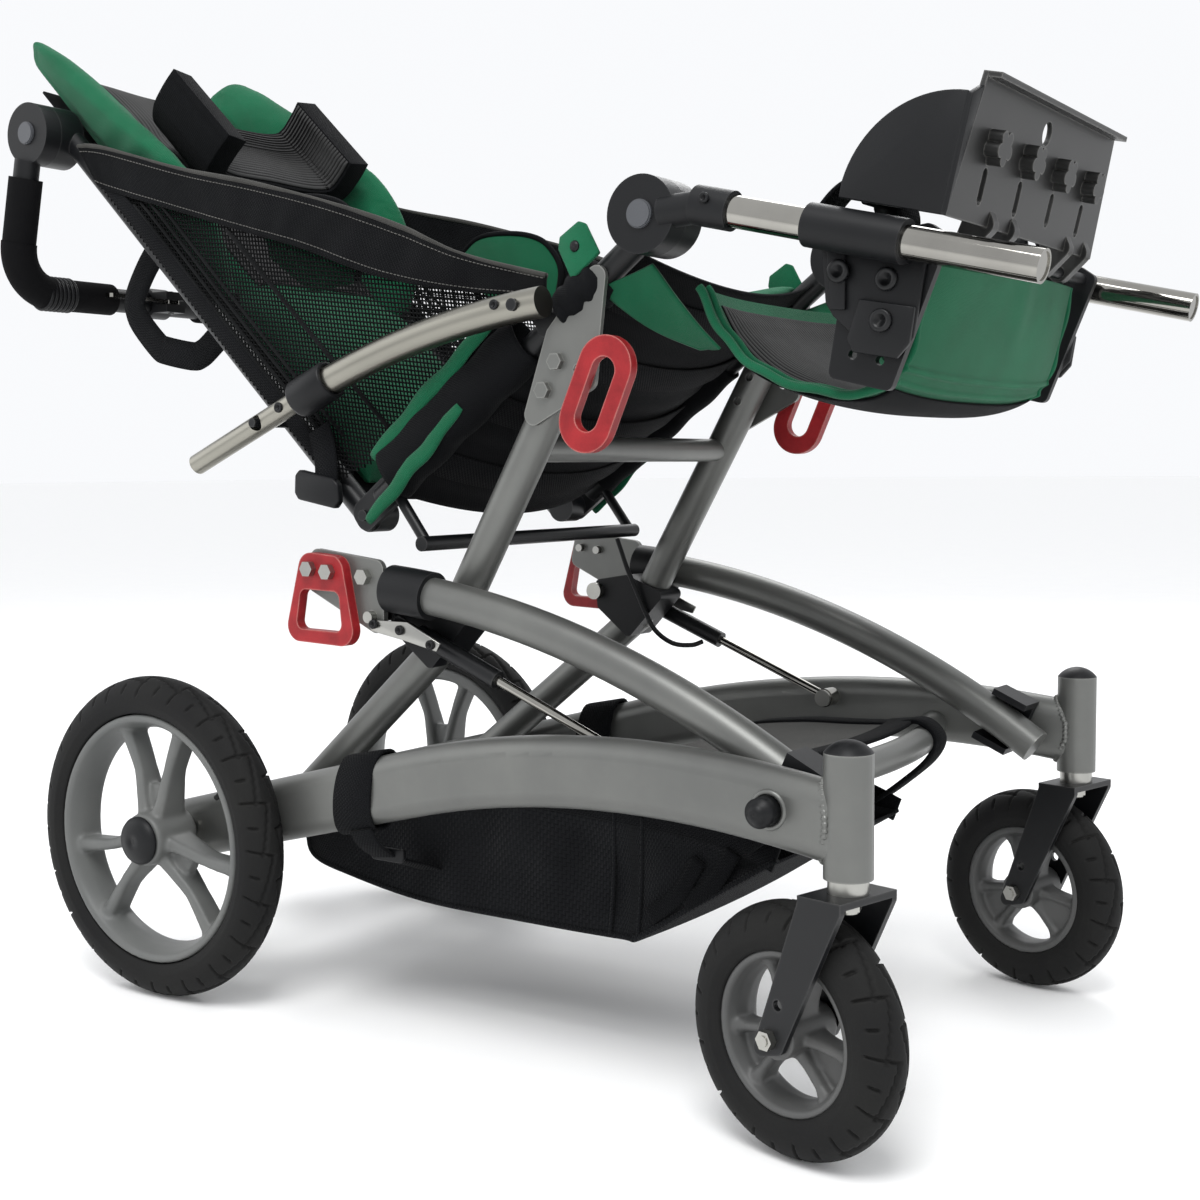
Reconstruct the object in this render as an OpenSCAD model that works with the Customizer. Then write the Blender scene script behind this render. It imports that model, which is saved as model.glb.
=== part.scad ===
// Special needs buggy: tilting seat on an arched four-wheel base.
// Millimetres, +X forward, +Y to the occupant's left, +Z up.
// The origin lies on the floor under the middle of the rear axle.

/* [Wheels] */
// Rear tyre diameter
rear_tyre_d = 305; // [280:1:320]
// Rear tyre width
rear_tyre_w = 44; // [36:1:46]
// Rear rim diameter under the tyre
rear_rim_d = 236; // [220:1:244]
// Distance between the middles of the rear tyres
rear_track = 430; // [428:1:450]
// Rear axle shaft diameter
axle_d = 12; // [10:0.5:14]
// Rear hub diameter
hub_d = 50; // [44:1:60]
// Caster tyre diameter
caster_tyre_d = 188; // [176:1:194]
// Caster tyre width
caster_tyre_w = 44; // [36:1:46]
// Caster rim diameter under the tyre
caster_rim_d = 122; // [110:1:130]
// Distance from the rear axle to the caster stems
wheel_base = 727; // [700:1:760]
// Distance between the caster stems
caster_track = 487; // [480:1:510]
// Trail of the caster axle behind its stem
caster_trail = 46; // [40:1:52]
// Swivel of the casters at rest
caster_swivel = 13.6; // [0:0.1:20]

/* [Base frame] */
// Height of the oval lower arch tube
arch_h = 58; // [50:1:62]
// Width of the oval lower arch tube
arch_w = 32; // [28:1:34]
// Radius of the lower arch's bend
arch_bend_r = 1050; // [950:1:1150]
// Distance of the lower arch's highest point from the rear axle
arch_apex_x = 560; // [530:1:590]
// Height of the lower arch's centre line at its highest point
arch_apex_z = 261.5; // [255:0.5:266]
// Half distance between the lower arches at the rear axle
arch_rear_y = 160; // [158:0.5:162]
// Caster barrel diameter
barrel_d = 35; // [33:1:40]
// Height of the caster barrel
barrel_h = 88; // [80:1:96]
// Clearance of the caster barrel's lower end over the tyre's top
barrel_gap = 24; // [22:1:30]
// Caster stem journal diameter
stem_d = 25; // [20:0.5:27]
// Front and rear cross tube diameter
cross_d = 25; // [20:1:28]

/* [Seat stand] */
// Leg and post tube diameter
leg_d = 31; // [28:0.5:32]
// Distance of the leg foot pivot from the rear axle
foot_x = 105; // [95:1:115]
// Height of the leg foot pivot
foot_z = 183; // [178:1:188]
// Half distance between the leg feet
foot_y = 137; // [134:0.5:138]
// Distance of the leg's bend from the rear axle
knee_x = 302; // [296:1:308]
// Height of the leg's bend
knee_z = 346; // [340:1:352]
// Half distance between the posts
post_y = 157; // [155:0.5:158]
// Lean of the posts from the floor
post_angle = 60; // [58:0.5:62]
// Length of the posts from the bend
post_len = 284; // [278:1:284]
// Seat cross tube diameter
seat_cross_d = 22; // [18:1:25]

/* [Upper arches and struts] */
// Upper arch tube diameter
upper_d = 32; // [28:1:33]
// Radius of the upper arch's bend
upper_r = 877; // [850:1:900]
// Distance of the upper arch's highest point from the rear axle
upper_apex_x = 200; // [190:1:210]
// Height of the upper arch's centre line at its highest point
upper_apex_z = 398.4; // [395:0.1:402]
// Half distance between the upper arches
upper_y = 197; // [196:0.5:199]
// Distance of the upper arch's front end from the rear axle
upper_front_x = 704; // [690:1:706]
// Distance of the arch and strut pivot from the rear axle
hip_x = 263; // [260:1:266]
// Height of the arch and strut pivot
hip_z = 371; // [368:1:373]
// Distance of the lower strut pivot from the rear axle
strut_x = 500; // [492:1:508]
// Height of the lower strut pivot
strut_z = 272; // [268:1:276]
// Strut cylinder diameter
strut_d = 16; // [12:0.5:17]
// Strut rod diameter
rod_d = 8; // [6:0.5:9]

/* [Seat] */
// Distance of the recline hinge behind the posts' tops
hinge_back = 224; // [220:1:228]
// Drop of the recline hinge under the posts' tops
hinge_drop = 135.951; // [132:0.001:140]
// Slope of the seat
seat_angle = 37; // [35:0.5:38]
// Length of the seat rails from the hinge to the leg rest knuckles
seat_len = 386; // [378:1:392]
// Half distance between the seat rails
rail_y = 162; // [161:0.5:163]
// Seat rail and back cane diameter
rail_d = 22; // [19:0.5:22]
// Lean of the back from upright
back_lean = 45.8; // [42:0.1:48]
// Length of the back sling
back_len = 610; // [580:1:620]
// Half distance between the back canes
cane_y = 148; // [146:0.5:148]
// Thickness of the seat pad
seat_pad_t = 34; // [26:1:38]
// Thickness of the back pad
back_pad_t = 38; // [28:1:40]
// Length of the back pad
back_pad_len = 650; // [600:1:655]
// Half width of the seat and back pads
pad_half = 132; // [125:1:134]

/* [Recline arms] */
// Polished recline arm diameter
arm_d = 25.4; // [22:0.1:26]
// Half distance between the recline arms
arm_y = 191.5; // [191:0.5:194]
// Distance from the hinge to the arm's front pivot along the seat
arm_front = 258; // [252:1:264]
// Height of the arm's front pivot over the seat rail
arm_lift = 18.4; // [17:0.1:20]
// Recline slide tube diameter
slide_d = 19; // [16:0.5:19.5]
// Radius of the recline arm's bend
arm_r = 850; // [800:1:1000]

/* [Push handle] */
// Distance of the handle knuckle from the hinge along the back
handle_up = 560; // [550:1:566]
// Knuckle diameter of the handle
handle_knuckle_d = 60; // [54:1:64]
// Handle grip diameter
grip_d = 33; // [30:0.5:35]
// Handle tube diameter
handle_d = 25; // [22:0.5:26]
// Drop of the handle bar under its knuckle
handle_drop = 152; // [140:1:160]

/* [Leg rest] */
// Slope of the leg tubes
leg_slope = 13.6; // [10:0.1:16]
// Leg tube diameter
tube_d = 24; // [20:0.5:25]
// Wall of the leg tubes
tube_wall = 2; // [1.5:0.1:3]
// Distance from the knuckle to the leg tube's free end
tube_end = 318; // [310:1:330]
// Half distance between the leg tubes
tube_y = 187; // [186:0.5:189]
// Height of the leg tubes over the knuckle
tube_rise = 14; // [11:0.5:16]
// Knuckle diameter of the leg rest
leg_knuckle_d = 60; // [54:1:64]
// Length of the sliding sleeves
sleeve_len = 77; // [70:1:84]
// Distance from the knuckle to the sleeves' rear end
sleeve_start = 140; // [134:1:146]
// Height of the footplate
plate_h = 100; // [92:1:108]
// Width of the footplate at its lower edge
plate_w = 312; // [300:1:316]
// Thickness of the footplate
plate_t = 4; // [3:0.5:5]

/* [Basket] */
// Half width of the basket
basket_half = 117; // [110:1:118]
// Thickness of the basket's fabric
basket_t = 4; // [3:0.5:6]

/* [Fits] */
// Radial running clearance of pins, stems and shafts
run_fit = 0.06; // [0.02:0.01:0.1]
// Radial clearance of pieces seated on each other
seat_fit = 0.04; // [0.02:0.01:0.1]
// Gap between pieces that move past each other
pass_gap = 0.4; // [0.3:0.05:0.6]

/* [Hidden] */
$fn = 64;

frame_grey = [0.43, 0.43, 0.41];
rim_grey = [0.4, 0.4, 0.39];
black = [0.07, 0.07, 0.075];
rubber = [0.12, 0.12, 0.11];
green = [0.1, 0.36, 0.25];
red = [0.6, 0.12, 0.12];
steel = [0.72, 0.72, 0.72];

axle_z = rear_tyre_d / 2;
caster_r = caster_tyre_d / 2;
barrel_z = caster_tyre_d + barrel_gap;
rear_y = rear_track / 2;
rail_r = rail_d / 2;
stem_y = caster_track / 2;
arch_skew = atan2(stem_y - arch_rear_y, wheel_base);
// Distance between the lower arch's centre line and the vehicle's middle at a place along it
function arch_y(x) = arch_rear_y + (stem_y - arch_rear_y) * x / wheel_base;

// The lower arch runs straight from the axle until it touches its bend
arch_c = [arch_apex_x, arch_apex_z - arch_bend_r];
axle_to_c = [-arch_apex_x, axle_z - arch_c.y];
arch_meet = atan2(axle_to_c.y, axle_to_c.x) - acos(arch_bend_r / norm(axle_to_c));
arch_straight = sqrt(pow(norm(axle_to_c), 2) - pow(arch_bend_r, 2));
arch_front_a = acos((wheel_base - arch_apex_x) / arch_bend_r);
arch_tail = 22;
// The straight run is eased a little and laps into the bend
arch_lap = 3;
arch_ease = 0.03;
function arch_z(x) = arch_c.y + sqrt(pow(arch_bend_r, 2) - pow(x - arch_apex_x, 2));

upper_c = [upper_apex_x, upper_apex_z - upper_r];
function upper_z(x) = upper_c.y + sqrt(pow(upper_r, 2) - pow(x - upper_apex_x, 2));
upper_rear_x = 282;

knee = [knee_x, knee_z];
post_top = knee + post_len * [cos(post_angle), sin(post_angle)];
// Point on the posts at a distance from their top
function on_post(d) = post_top - d * [cos(post_angle), sin(post_angle)];
strut_y = 186;
strut_vec = [strut_x - hip_x, 0, strut_z - hip_z];
strut_len = norm(strut_vec);

// The recline hinge, carried by the seat rails on the posts' tops
hinge_x = post_top.x - hinge_back;
hinge_z = post_top.y - hinge_drop;
seat_dir = [cos(seat_angle), sin(seat_angle)];
knuckle = [hinge_x, hinge_z] + seat_len * seat_dir;
back_off = -8;
plate_inner_y = max(post_y + leg_d / 2, rail_y + rail_r) + seat_fit;
bracket_t = 4;

// Moves a shape to the left or the right side
module side(s) {
    if (s > 0) children();
    else mirror([0, 1, 0]) children();
}
module both_sides() {
    children();
    mirror([0, 1, 0]) children();
}
// Seat frame: local x runs up the seat from the hinge, local z is the seat's normal
module on_seat() { translate([hinge_x, 0, hinge_z]) rotate([0, -seat_angle, 0]) children(); }
// Back frame: local z runs up the back from the hinge, local x points to the occupant
module on_back() { translate([hinge_x, 0, hinge_z]) rotate([0, -back_lean, 0]) children(); }
// Leg rest frame: local x runs along the leg tubes from the knuckle
module on_leg() { translate([knuckle.x, 0, knuckle.y]) rotate([0, leg_slope, 0]) children(); }
// Caster frame: local x trails from the stem, on the floor
module on_caster(s) {
    translate([wheel_base, s * stem_y, 0]) rotate([0, 0, 180 - caster_swivel]) children();
}

// Round bar between two points
module bar(p, q, d) {
    v = q - p;
    translate(p) rotate([0, acos(v.z / norm(v)), atan2(v.y, v.x)]) cylinder(h = norm(v), d = d);
}
// Bar along Y between two distances from the middle plane
module ybar(x, z, y0, y1, d) { translate([x, y0, z]) rotate([-90, 0, 0]) cylinder(h = y1 - y0, d = d); }
// Extrudes an outline in the XZ plane between two values of y
module xz_plate(y0, y1) { translate([0, y1, 0]) rotate([90, 0, 0]) linear_extrude(y1 - y0) children(); }
// Convex outline with round corners about the given centres, in counter-clockwise order
module rounded(pts, r) {
    n = len(pts);
    out = function(a, b) r * [b.y - a.y, a.x - b.x] / norm(b - a);
    polygon([for (i = [0:n - 1]) each [
        pts[i] + out(pts[(i + n - 1) % n], pts[i]),
        pts[i] + out(pts[i], pts[(i + 1) % n])
    ]]);
    for (p = pts) translate(p) circle(r);
}
// Oval outline, long along X
module oval(l, w) {
    square([l - w, w], center = true);
    for (s = [-1, 1]) translate([s * (l - w) / 2, 0]) circle(d = w);
}
// Tube bent to one arc in the XZ plane, between two slopes, about a centre
module xz_arc(c, y, r, a0, a1, d) {
    translate([c.x, y, c.y]) rotate([90, 0, 0]) rotate([0, 0, a0])
        rotate_extrude(angle = a1 - a0, $fn = 200) translate([r, 0]) circle(d = d);
}
// Closed soft form: two grids of points over u and v from 0 to 1, joined round their rims
module soft_form(nu, nv, top, low) {
    n = (nu + 1) * (nv + 1);
    at = function(k, i, j) k * n + i * (nv + 1) + j;
    quad = function(a, b, c, d) [[a, b, c], [a, c, d]];
    polyhedron(
        points = concat(
            [for (i = [0:nu], j = [0:nv]) top(i / nu, j / nv)],
            [for (i = [0:nu], j = [0:nv]) low(i / nu, j / nv)]
        ),
        faces = concat(
            [for (i = [0:nu - 1], j = [0:nv - 1])
                each quad(at(0, i, j), at(0, i, j + 1), at(0, i + 1, j + 1), at(0, i + 1, j))],
            [for (i = [0:nu - 1], j = [0:nv - 1])
                each quad(at(1, i, j), at(1, i + 1, j), at(1, i + 1, j + 1), at(1, i, j + 1))],
            [for (i = [0:nu - 1])
                each quad(at(0, i, 0), at(0, i + 1, 0), at(1, i + 1, 0), at(1, i, 0))],
            [for (i = [0:nu - 1])
                each quad(at(0, i + 1, nv), at(0, i, nv), at(1, i, nv), at(1, i + 1, nv))],
            [for (j = [0:nv - 1])
                each quad(at(0, 0, j + 1), at(0, 0, j), at(1, 0, j), at(1, 0, j + 1))],
            [for (j = [0:nv - 1])
                each quad(at(0, nu, j), at(0, nu, j + 1), at(1, nu, j + 1), at(1, nu, j))]
        )
    );
}
// Hex bolt head along +Y, from y0 outwards, on a shank that reaches back to y1
module ybolt(x, z, y1, y0, d, head) {
    ybar(x, z, y1, y0 + head, d);
    translate([x, y0, z]) rotate([-90, 0, 0]) cylinder(h = head, d = 1.8 * d, $fn = 6);
}

// Base frame

module side_frame(s) color(frame_grey) side(s) {
    rear_dir = arch_meet - 90;
    difference() {
        union() {
            translate([0, arch_rear_y, 0]) rotate([0, 0, arch_skew]) {
                translate([0, 0, axle_z]) rotate([0, 90 - rear_dir, 0])
                    translate([0, 0, -arch_tail]) linear_extrude(arch_straight + arch_tail + arch_lap)
                        oval(arch_h - 2 * arch_ease, arch_w - 2 * arch_ease);
                translate([arch_c.x, 0, arch_c.y]) rotate([90, 0, 0]) rotate([0, 0, arch_front_a])
                    rotate_extrude(angle = arch_meet - arch_front_a, $fn = 200)
                        translate([arch_bend_r, 0]) oval(arch_h, arch_w);
            }
            translate([wheel_base, stem_y, barrel_z]) cylinder(h = barrel_h, d = barrel_d);
        }
        translate([wheel_base, stem_y, barrel_z - 1]) cylinder(h = barrel_h + 2, d = stem_d + 2 * run_fit);
        ybar(0, axle_z, 0, rear_y, axle_d + 2 * seat_fit);
        ybar(foot_x, foot_z, 0, rear_y, pin_d + 2 * seat_fit);
        ybar(strut_x, strut_z, 0, arch_y(strut_x), pin_d + 2 * seat_fit);
        in_arch(guide_x, guide_z) ybar(0, 0, -arch_w, arch_w, pin_d + 2 * seat_fit);
    }
}
pin_d = 10;
guide_x = 672;
guide_z = arch_z(guide_x);

module right_side_frame() { side_frame(-1); }
module left_side_frame() { side_frame(1); }

// Rear sleeve tube over the axle and bowed front tube, both between the arches
front_cross_x = 592;
front_cross_bow = 48;
front_cross_drop = 11;
module cross_tubes() color(frame_grey) intersection() {
    union() {
        difference() {
            ybar(0, axle_z, -rear_y, rear_y, cross_d);
            ybar(0, axle_z, -rear_y - 1, rear_y + 1, axle_d + 2 * seat_fit);
        }
        half = arch_y(front_cross_x);
        r = (half * half + front_cross_bow * front_cross_bow) / (2 * front_cross_bow);
        spread = 1.1 * asin(half / r);
        translate([front_cross_x + front_cross_bow - r, 0, arch_z(front_cross_x) - front_cross_drop])
            rotate([0, 0, -spread]) rotate_extrude(angle = 2 * spread, $fn = 200)
                translate([r, 0]) circle(d = cross_d);
    }
    arch_inner_space();
}
// Space between the inner faces of the lower arches
module arch_inner_space() {
    gap = arch_w / 2 / cos(arch_skew) + seat_fit;
    x0 = -100;
    x1 = wheel_base + 100;
    linear_extrude(600) polygon([
        [x0, gap - arch_y(x0)], [x1, gap - arch_y(x1)], [x1, arch_y(x1) - gap], [x0, arch_y(x0) - gap]
    ]);
}

module rear_axle() color(steel) {
    reach = rear_y + hub_half - 4;
    ybar(0, axle_z, -reach, reach, axle_d);
}
hub_half = 25;
// Spacers between the lower arches and the rear hubs
module axle_spacers() color(steel) both_sides() difference() {
    y0 = arch_y(0) + arch_w / 2 * cos(arch_skew) + 3;
    ybar(0, axle_z, y0, rear_y - hub_half - pass_gap, axle_d + 8);
    ybar(0, axle_z, 0, rear_y, axle_d + 2 * seat_fit);
}

cap_h = 9;
module barrel_caps() color(black) both_sides() {
    translate([wheel_base, stem_y, barrel_z + barrel_h + seat_fit]) {
        r = (barrel_d / 2 * barrel_d / 2 + cap_h * cap_h) / (2 * cap_h);
        intersection() {
            translate([0, 0, cap_h - r]) sphere(r);
            cylinder(h = cap_h, d = barrel_d);
        }
    }
}

// Channels on the lower arches' inner faces, in which the upper arches' front ends run
guide_len = 34;
guide_slack = 4;
guide_slope = 24.7;
module arch_guides() color(black) both_sides() {
    z = upper_z(guide_x);
    reach = upper_d / 2 + guide_slack;
    difference() {
        translate([guide_x, 0, z]) rotate([0, guide_slope, 0]) {
            for (k = [-1, 1]) translate([-guide_len / 2, upper_y - 8, k > 0 ? reach : -reach - 6])
                cube([guide_len, 60, 6]);
            translate([-guide_len / 2, upper_y + upper_d / 2 + 1, -reach - 6])
                cube([guide_len, 40, 2 * reach + 12]);
        }
        arch_outer_space();
    }
}
// Everything outboard of the lower arches' inner faces, on the left
module arch_outer_space() {
    gap = arch_w / 2 / cos(arch_skew) + seat_fit;
    x0 = -100;
    x1 = wheel_base + 100;
    linear_extrude(600) polygon([[x0, arch_y(x0) - gap], [x1, arch_y(x1) - gap], [x1, 400], [x0, 400]]);
}

// Domed bolts of the guides, and the lower strut and leg pins held in the arches
module chassis_bolts() color(steel) both_sides() {
    in_arch(guide_x, guide_z) {
        ybar(0, 0, -arch_w / 2, arch_w / 2 + 8, pin_d);
        translate([0, arch_w / 2 + 7, 0]) sphere(d = 16);
        ybar(0, 0, arch_w / 2 + seat_fit, arch_w / 2 + 4, 20);
    }
    ybar(strut_x, strut_z, strut_y - 9, arch_y(strut_x), pin_d);
    ybar(strut_x, strut_z, strut_y - 12, strut_y - 8.5, pin_d + 6);
    ybar(foot_x, foot_z, foot_y - leg_d / 2 - 1, arch_y(foot_x) + arch_w / 2 - 4, pin_d);
    ybar(foot_x, foot_z, foot_y - leg_d / 2 - 3, foot_y - leg_d / 2 - pass_gap, pin_d + 6);
}
// Frame on the lower arch's centre line, with local y square to its side
module in_arch(x, z) {
    translate([x, arch_y(x), z]) rotate([0, 0, arch_skew]) children();
}

// Fabric basket with an open top, hung from the lower arches
basket_floor = [[92, 182], [104, 124], [240, 100], [470, 97], [604, 180]];
basket_rim = [[560, 199], [330, 212]];
basket_strap_x = 190;
// Direction of a line, and its normal to the left
function heading(a, b) = (b - a) / norm(b - a);
function left_of(a, b) = [a.y - b.y, b.x - a.x] / norm(b - a);
// Corner b of an outline, moved inwards by t
function inset(a, b, c, t) =
    b + t * (left_of(a, b) + left_of(b, c)) / (1 + left_of(a, b) * left_of(b, c));
module basket() color(black) {
    f = basket_floor;
    last = len(f) - 1;
    over = 150;
    inner = concat(
        [f[0] + basket_t * left_of(f[0], f[1]) - over * heading(f[0], f[1])],
        [for (i = [1:last - 1]) inset(f[i - 1], f[i], f[i + 1], basket_t)],
        [f[last] + basket_t * left_of(f[last - 1], f[last]) + over * heading(f[last - 1], f[last])]
    );
    difference() {
        xz_plate(-basket_half, basket_half) polygon(concat(basket_floor, basket_rim));
        xz_plate(basket_t - basket_half, basket_half - basket_t) polygon(inner);
    }
    both_sides() basket_strap(basket_strap_x);
}
// Webbing loop from the basket round the lower arch
module basket_strap(x) {
    z = arch_z_true(x);
    y = arch_y(x);
    w = 24;
    t = 3;
    clear = pass_gap;
    slack = 6;
    translate([x, y, z]) rotate([0, 0, arch_skew]) difference() {
        translate([-w / 2, -arch_w / 2 - clear - t, -arch_h / 2 - slack - t])
            cube([w, arch_w + 2 * clear + 2 * t, arch_h + 2 * slack + 2 * t]);
        translate([-w, -arch_w / 2 - clear, -arch_h / 2 - slack])
            cube([2 * w, arch_w + 2 * clear, arch_h + 2 * slack]);
    }
    translate([x - w / 2, basket_half - basket_t / 2, z - arch_h / 2 - slack - t])
        cube([w, y - basket_half, t]);
}
// Height of the lower arch, along its straight part and its bend
meet_x = arch_c.x + arch_bend_r * cos(arch_meet);
function arch_z_true(x) = x > meet_x ? arch_z(x) : axle_z + x * tan(arch_meet - 90);

// Foot brake: a sleeve that turns on the rear cross tube, with its pedal
brake_len = 128;
brake_wall = 4.5;
pedal_len = 96;
pedal_w = 60;
pedal_t = 7;
tread_len = 34;
tread_lip = 8;
module brake_bar() color(black) {
    low = axle_z - cross_d / 2 + 1.5;
    difference() {
        union() {
            ybar(0, axle_z, -brake_len / 2, brake_len / 2, cross_d + 2 * brake_wall);
            translate([-pedal_len, -pedal_w / 2, low]) cube([pedal_len, pedal_w, pedal_t]);
            translate([-pedal_len - 4, -pedal_w / 2 - tread_lip, low - 2])
                cube([tread_len, pedal_w + 2 * tread_lip, pedal_t + 4]);
        }
        ybar(0, axle_z, -brake_len, brake_len, cross_d + 2 * run_fit);
    }
}

// Wheels

// Tyre of revolution about Y, seated on its rim
module tyre(d, w, rim_d) {
    r = d / 2;
    rotate([90, 0, 0]) rotate_extrude($fn = 128) difference() {
        translate([r - w / 2, 0]) circle(d = w);
        translate([0, -w]) square([rim_d / 2 + seat_fit, 2 * w]);
    }
}
// Rim of revolution about Y: hub, flanged ring and three pairs of spokes, bored for its axle
module spoked_rim(d, w, hub, half, bore, spoke_w, spoke_a, depth) {
    r = d / 2;
    difference() {
        union() {
            rotate([90, 0, 0]) rotate_extrude($fn = 128) {
                polygon([
                    [r - 16, -w / 2 + 5], [r - 9, -w / 2], [r, -w / 2], [r, w / 2],
                    [r - 9, w / 2], [r - 16, w / 2 - 5]
                ]);
            }
            ybar(0, 0, -half, half, hub);
            for (k = [0:2]) rotate([0, 120 * k - 90, 0]) for (s = [-1, 1])
                xz_plate(-depth / 2, depth / 2) polygon([
                    [hub / 2 * 0.8, s * 1], [hub / 2 * 0.6, s * hub * 0.42],
                    [hub * 0.75, s * (hub * 0.3 + spoke_w * 0.55)],
                    [(r - 12) * cos(spoke_a) , s * ((r - 12) * sin(spoke_a) + spoke_w / 2)],
                    [(r - 12) * cos(spoke_a), s * ((r - 12) * sin(spoke_a) - spoke_w / 2)],
                    [hub * 0.72, s * 4]
                ]);
        }
        ybar(0, 0, -half - 1, half + 1, bore);
    }
}

rear_spoke_w = 12;
rear_spoke_a = 20;
rear_spoke_depth = 26;
module rear_tyre(s) color(rubber) translate([0, s * rear_y, axle_z])
    tyre(rear_tyre_d, rear_tyre_w, rear_rim_d);
module rear_rim(s) color(rim_grey) translate([0, s * rear_y, axle_z])
    spoked_rim(rear_rim_d, rear_tyre_w - 6, hub_d, hub_half, axle_d + 2 * run_fit,
        rear_spoke_w, rear_spoke_a, rear_spoke_depth);
module hub_cap(s) color(black) translate([0, 0, axle_z]) side(s) {
    y0 = rear_y + hub_half + seat_fit;
    translate([0, y0, 0]) rotate([-90, 0, 0]) {
        cylinder(h = 7, d = hub_d - 4);
        translate([0, 0, 7]) cylinder(h = 3, d1 = hub_d - 4, d2 = hub_d - 10);
    }
}
module right_rear_tyre() { rear_tyre(-1); }
module left_rear_tyre() { rear_tyre(1); }
module right_rear_rim() { rear_rim(-1); }
module left_rear_rim() { rear_rim(1); }
module right_hub_cap() { hub_cap(-1); }
module left_hub_cap() { hub_cap(1); }

// Casters

fork_gap = caster_tyre_w / 2 + 4;
fork_t = 5;
crown_z = caster_tyre_d + 12;
caster_axle_d = 8;
caster_half = fork_gap - pass_gap;
module caster_fork(s) color(black) on_caster(s) difference() {
    union() {
        for (k = [-1, 1]) {
            y0 = k > 0 ? fork_gap : -fork_gap - fork_t;
            xz_plate(y0, y0 + fork_t) {
                rounded([[caster_trail - 7, caster_r - 4], [caster_trail + 8, caster_r - 8],
                    [14, crown_z - 4], [-12, crown_z - 4]], 6);
            }
        }
        translate([-18, -fork_gap - fork_t, crown_z - fork_t + 2])
            cube([38, 2 * (fork_gap + fork_t), fork_t]);
    }
    translate([0, 0, crown_z - 20]) cylinder(h = 40, d = 14 + 2 * seat_fit);
    ybar(caster_trail, caster_r, -60, 60, caster_axle_d + 2 * seat_fit);
    ybar(caster_trail - 8, caster_r + 26, -60, 60, caster_axle_d);
}
// Stem with its nut under the crown, and the wheel's axle bolt with its nut
module caster_stem(s) color(steel) on_caster(s) {
    seat_z = crown_z + 2 + seat_fit;
    translate([0, 0, seat_z]) cylinder(h = barrel_z - seat_z - pass_gap, d = stem_d + 4);
    translate([0, 0, barrel_z - 1]) cylinder(h = barrel_h - 2, d = stem_d);
    translate([0, 0, crown_z - 12]) cylinder(h = barrel_z - crown_z + 13, d = 14);
    translate([0, 0, crown_z - fork_t + 2 - 7 - seat_fit]) cylinder(h = 7, d = 20, $fn = 6);
    reach = fork_gap + fork_t + seat_fit;
    ybar(caster_trail, caster_r, -reach - 7, reach + 7, caster_axle_d);
    for (k = [-1, 1]) translate([caster_trail, k > 0 ? reach : -reach - 6, caster_r])
        rotate([-90, 0, 0]) cylinder(h = 6, d = 15, $fn = 6);
}
module caster_tyre(s) color(rubber) on_caster(s) translate([caster_trail, 0, caster_r])
    tyre(caster_tyre_d, caster_tyre_w, caster_rim_d);
module caster_rim(s) color(rim_grey) on_caster(s) translate([caster_trail, 0, caster_r])
    spoked_rim(caster_rim_d, caster_tyre_w - 8, 34, caster_half, caster_axle_d + 2 * run_fit, 10, 22, 22);
module right_caster_fork() { caster_fork(-1); }
module left_caster_fork() { caster_fork(1); }
module right_caster_stem() { caster_stem(-1); }
module left_caster_stem() { caster_stem(1); }
module right_caster_tyre() { caster_tyre(-1); }
module left_caster_tyre() { caster_tyre(1); }
module right_caster_rim() { caster_rim(-1); }
module left_caster_rim() { caster_rim(1); }

// Seat stand: legs bent into posts, tied by a cross tube

seat_cross_at = 92;
module seat_stand() color(frame_grey) {
    both_sides() difference() {
        union() {
            leg_tube(leg_d);
            ybar(foot_x, foot_z, foot_y - leg_d / 2, foot_y + leg_d / 2, leg_d);
        }
        ybar(foot_x, foot_z, 0, 400, pin_d + 2 * run_fit);
        for (d = [12, 38]) ybar(on_post(d).x, on_post(d).y, 0, 400, 8 + 2 * seat_fit);
    }
    p = on_post(seat_cross_at);
    ybar(p.x, p.y, -post_y, post_y, seat_cross_d);
}

// Moulded blocks round the legs' bends, which carry the hip pins
block_half = 19;
module stand_blocks() color(black) both_sides() difference() {
    xz_plate(post_y - block_half, post_y + block_half) rounded([
        [hip_x + 6, hip_z - 14], [knee.x - 2, knee.y - 14], [knee.x + 32, knee.y + 22],
        [knee.x - 4, knee.y + 36], [hip_x + 4, hip_z + 6]
    ], 6);
    leg_tube(leg_d + 2 * seat_fit);
    ybar(hip_x, hip_z, 0, 400, pin_d + 2 * seat_fit);
}
// Leg and post, crossing at the knee inside its block
module leg_tube(d) {
    foot = [foot_x, foot_y, foot_z];
    bend = at_y(knee, post_y);
    past = 5;
    bar(foot, bend + past * (bend - foot) / norm(bend - foot), d);
    bar(at_y(knee - past * [cos(post_angle), sin(post_angle)], post_y), at_y(post_top, post_y), d);
}

// Pins at the hips, and at the recline hinge
module pivot_pins() color(steel) both_sides() {
    ybar(hip_x, hip_z, post_y - block_half - 4, upper_y + 16, pin_d);
    ybar(hip_x, hip_z, post_y - block_half - 7, post_y - block_half - seat_fit, pin_d + 7);
}

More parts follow.
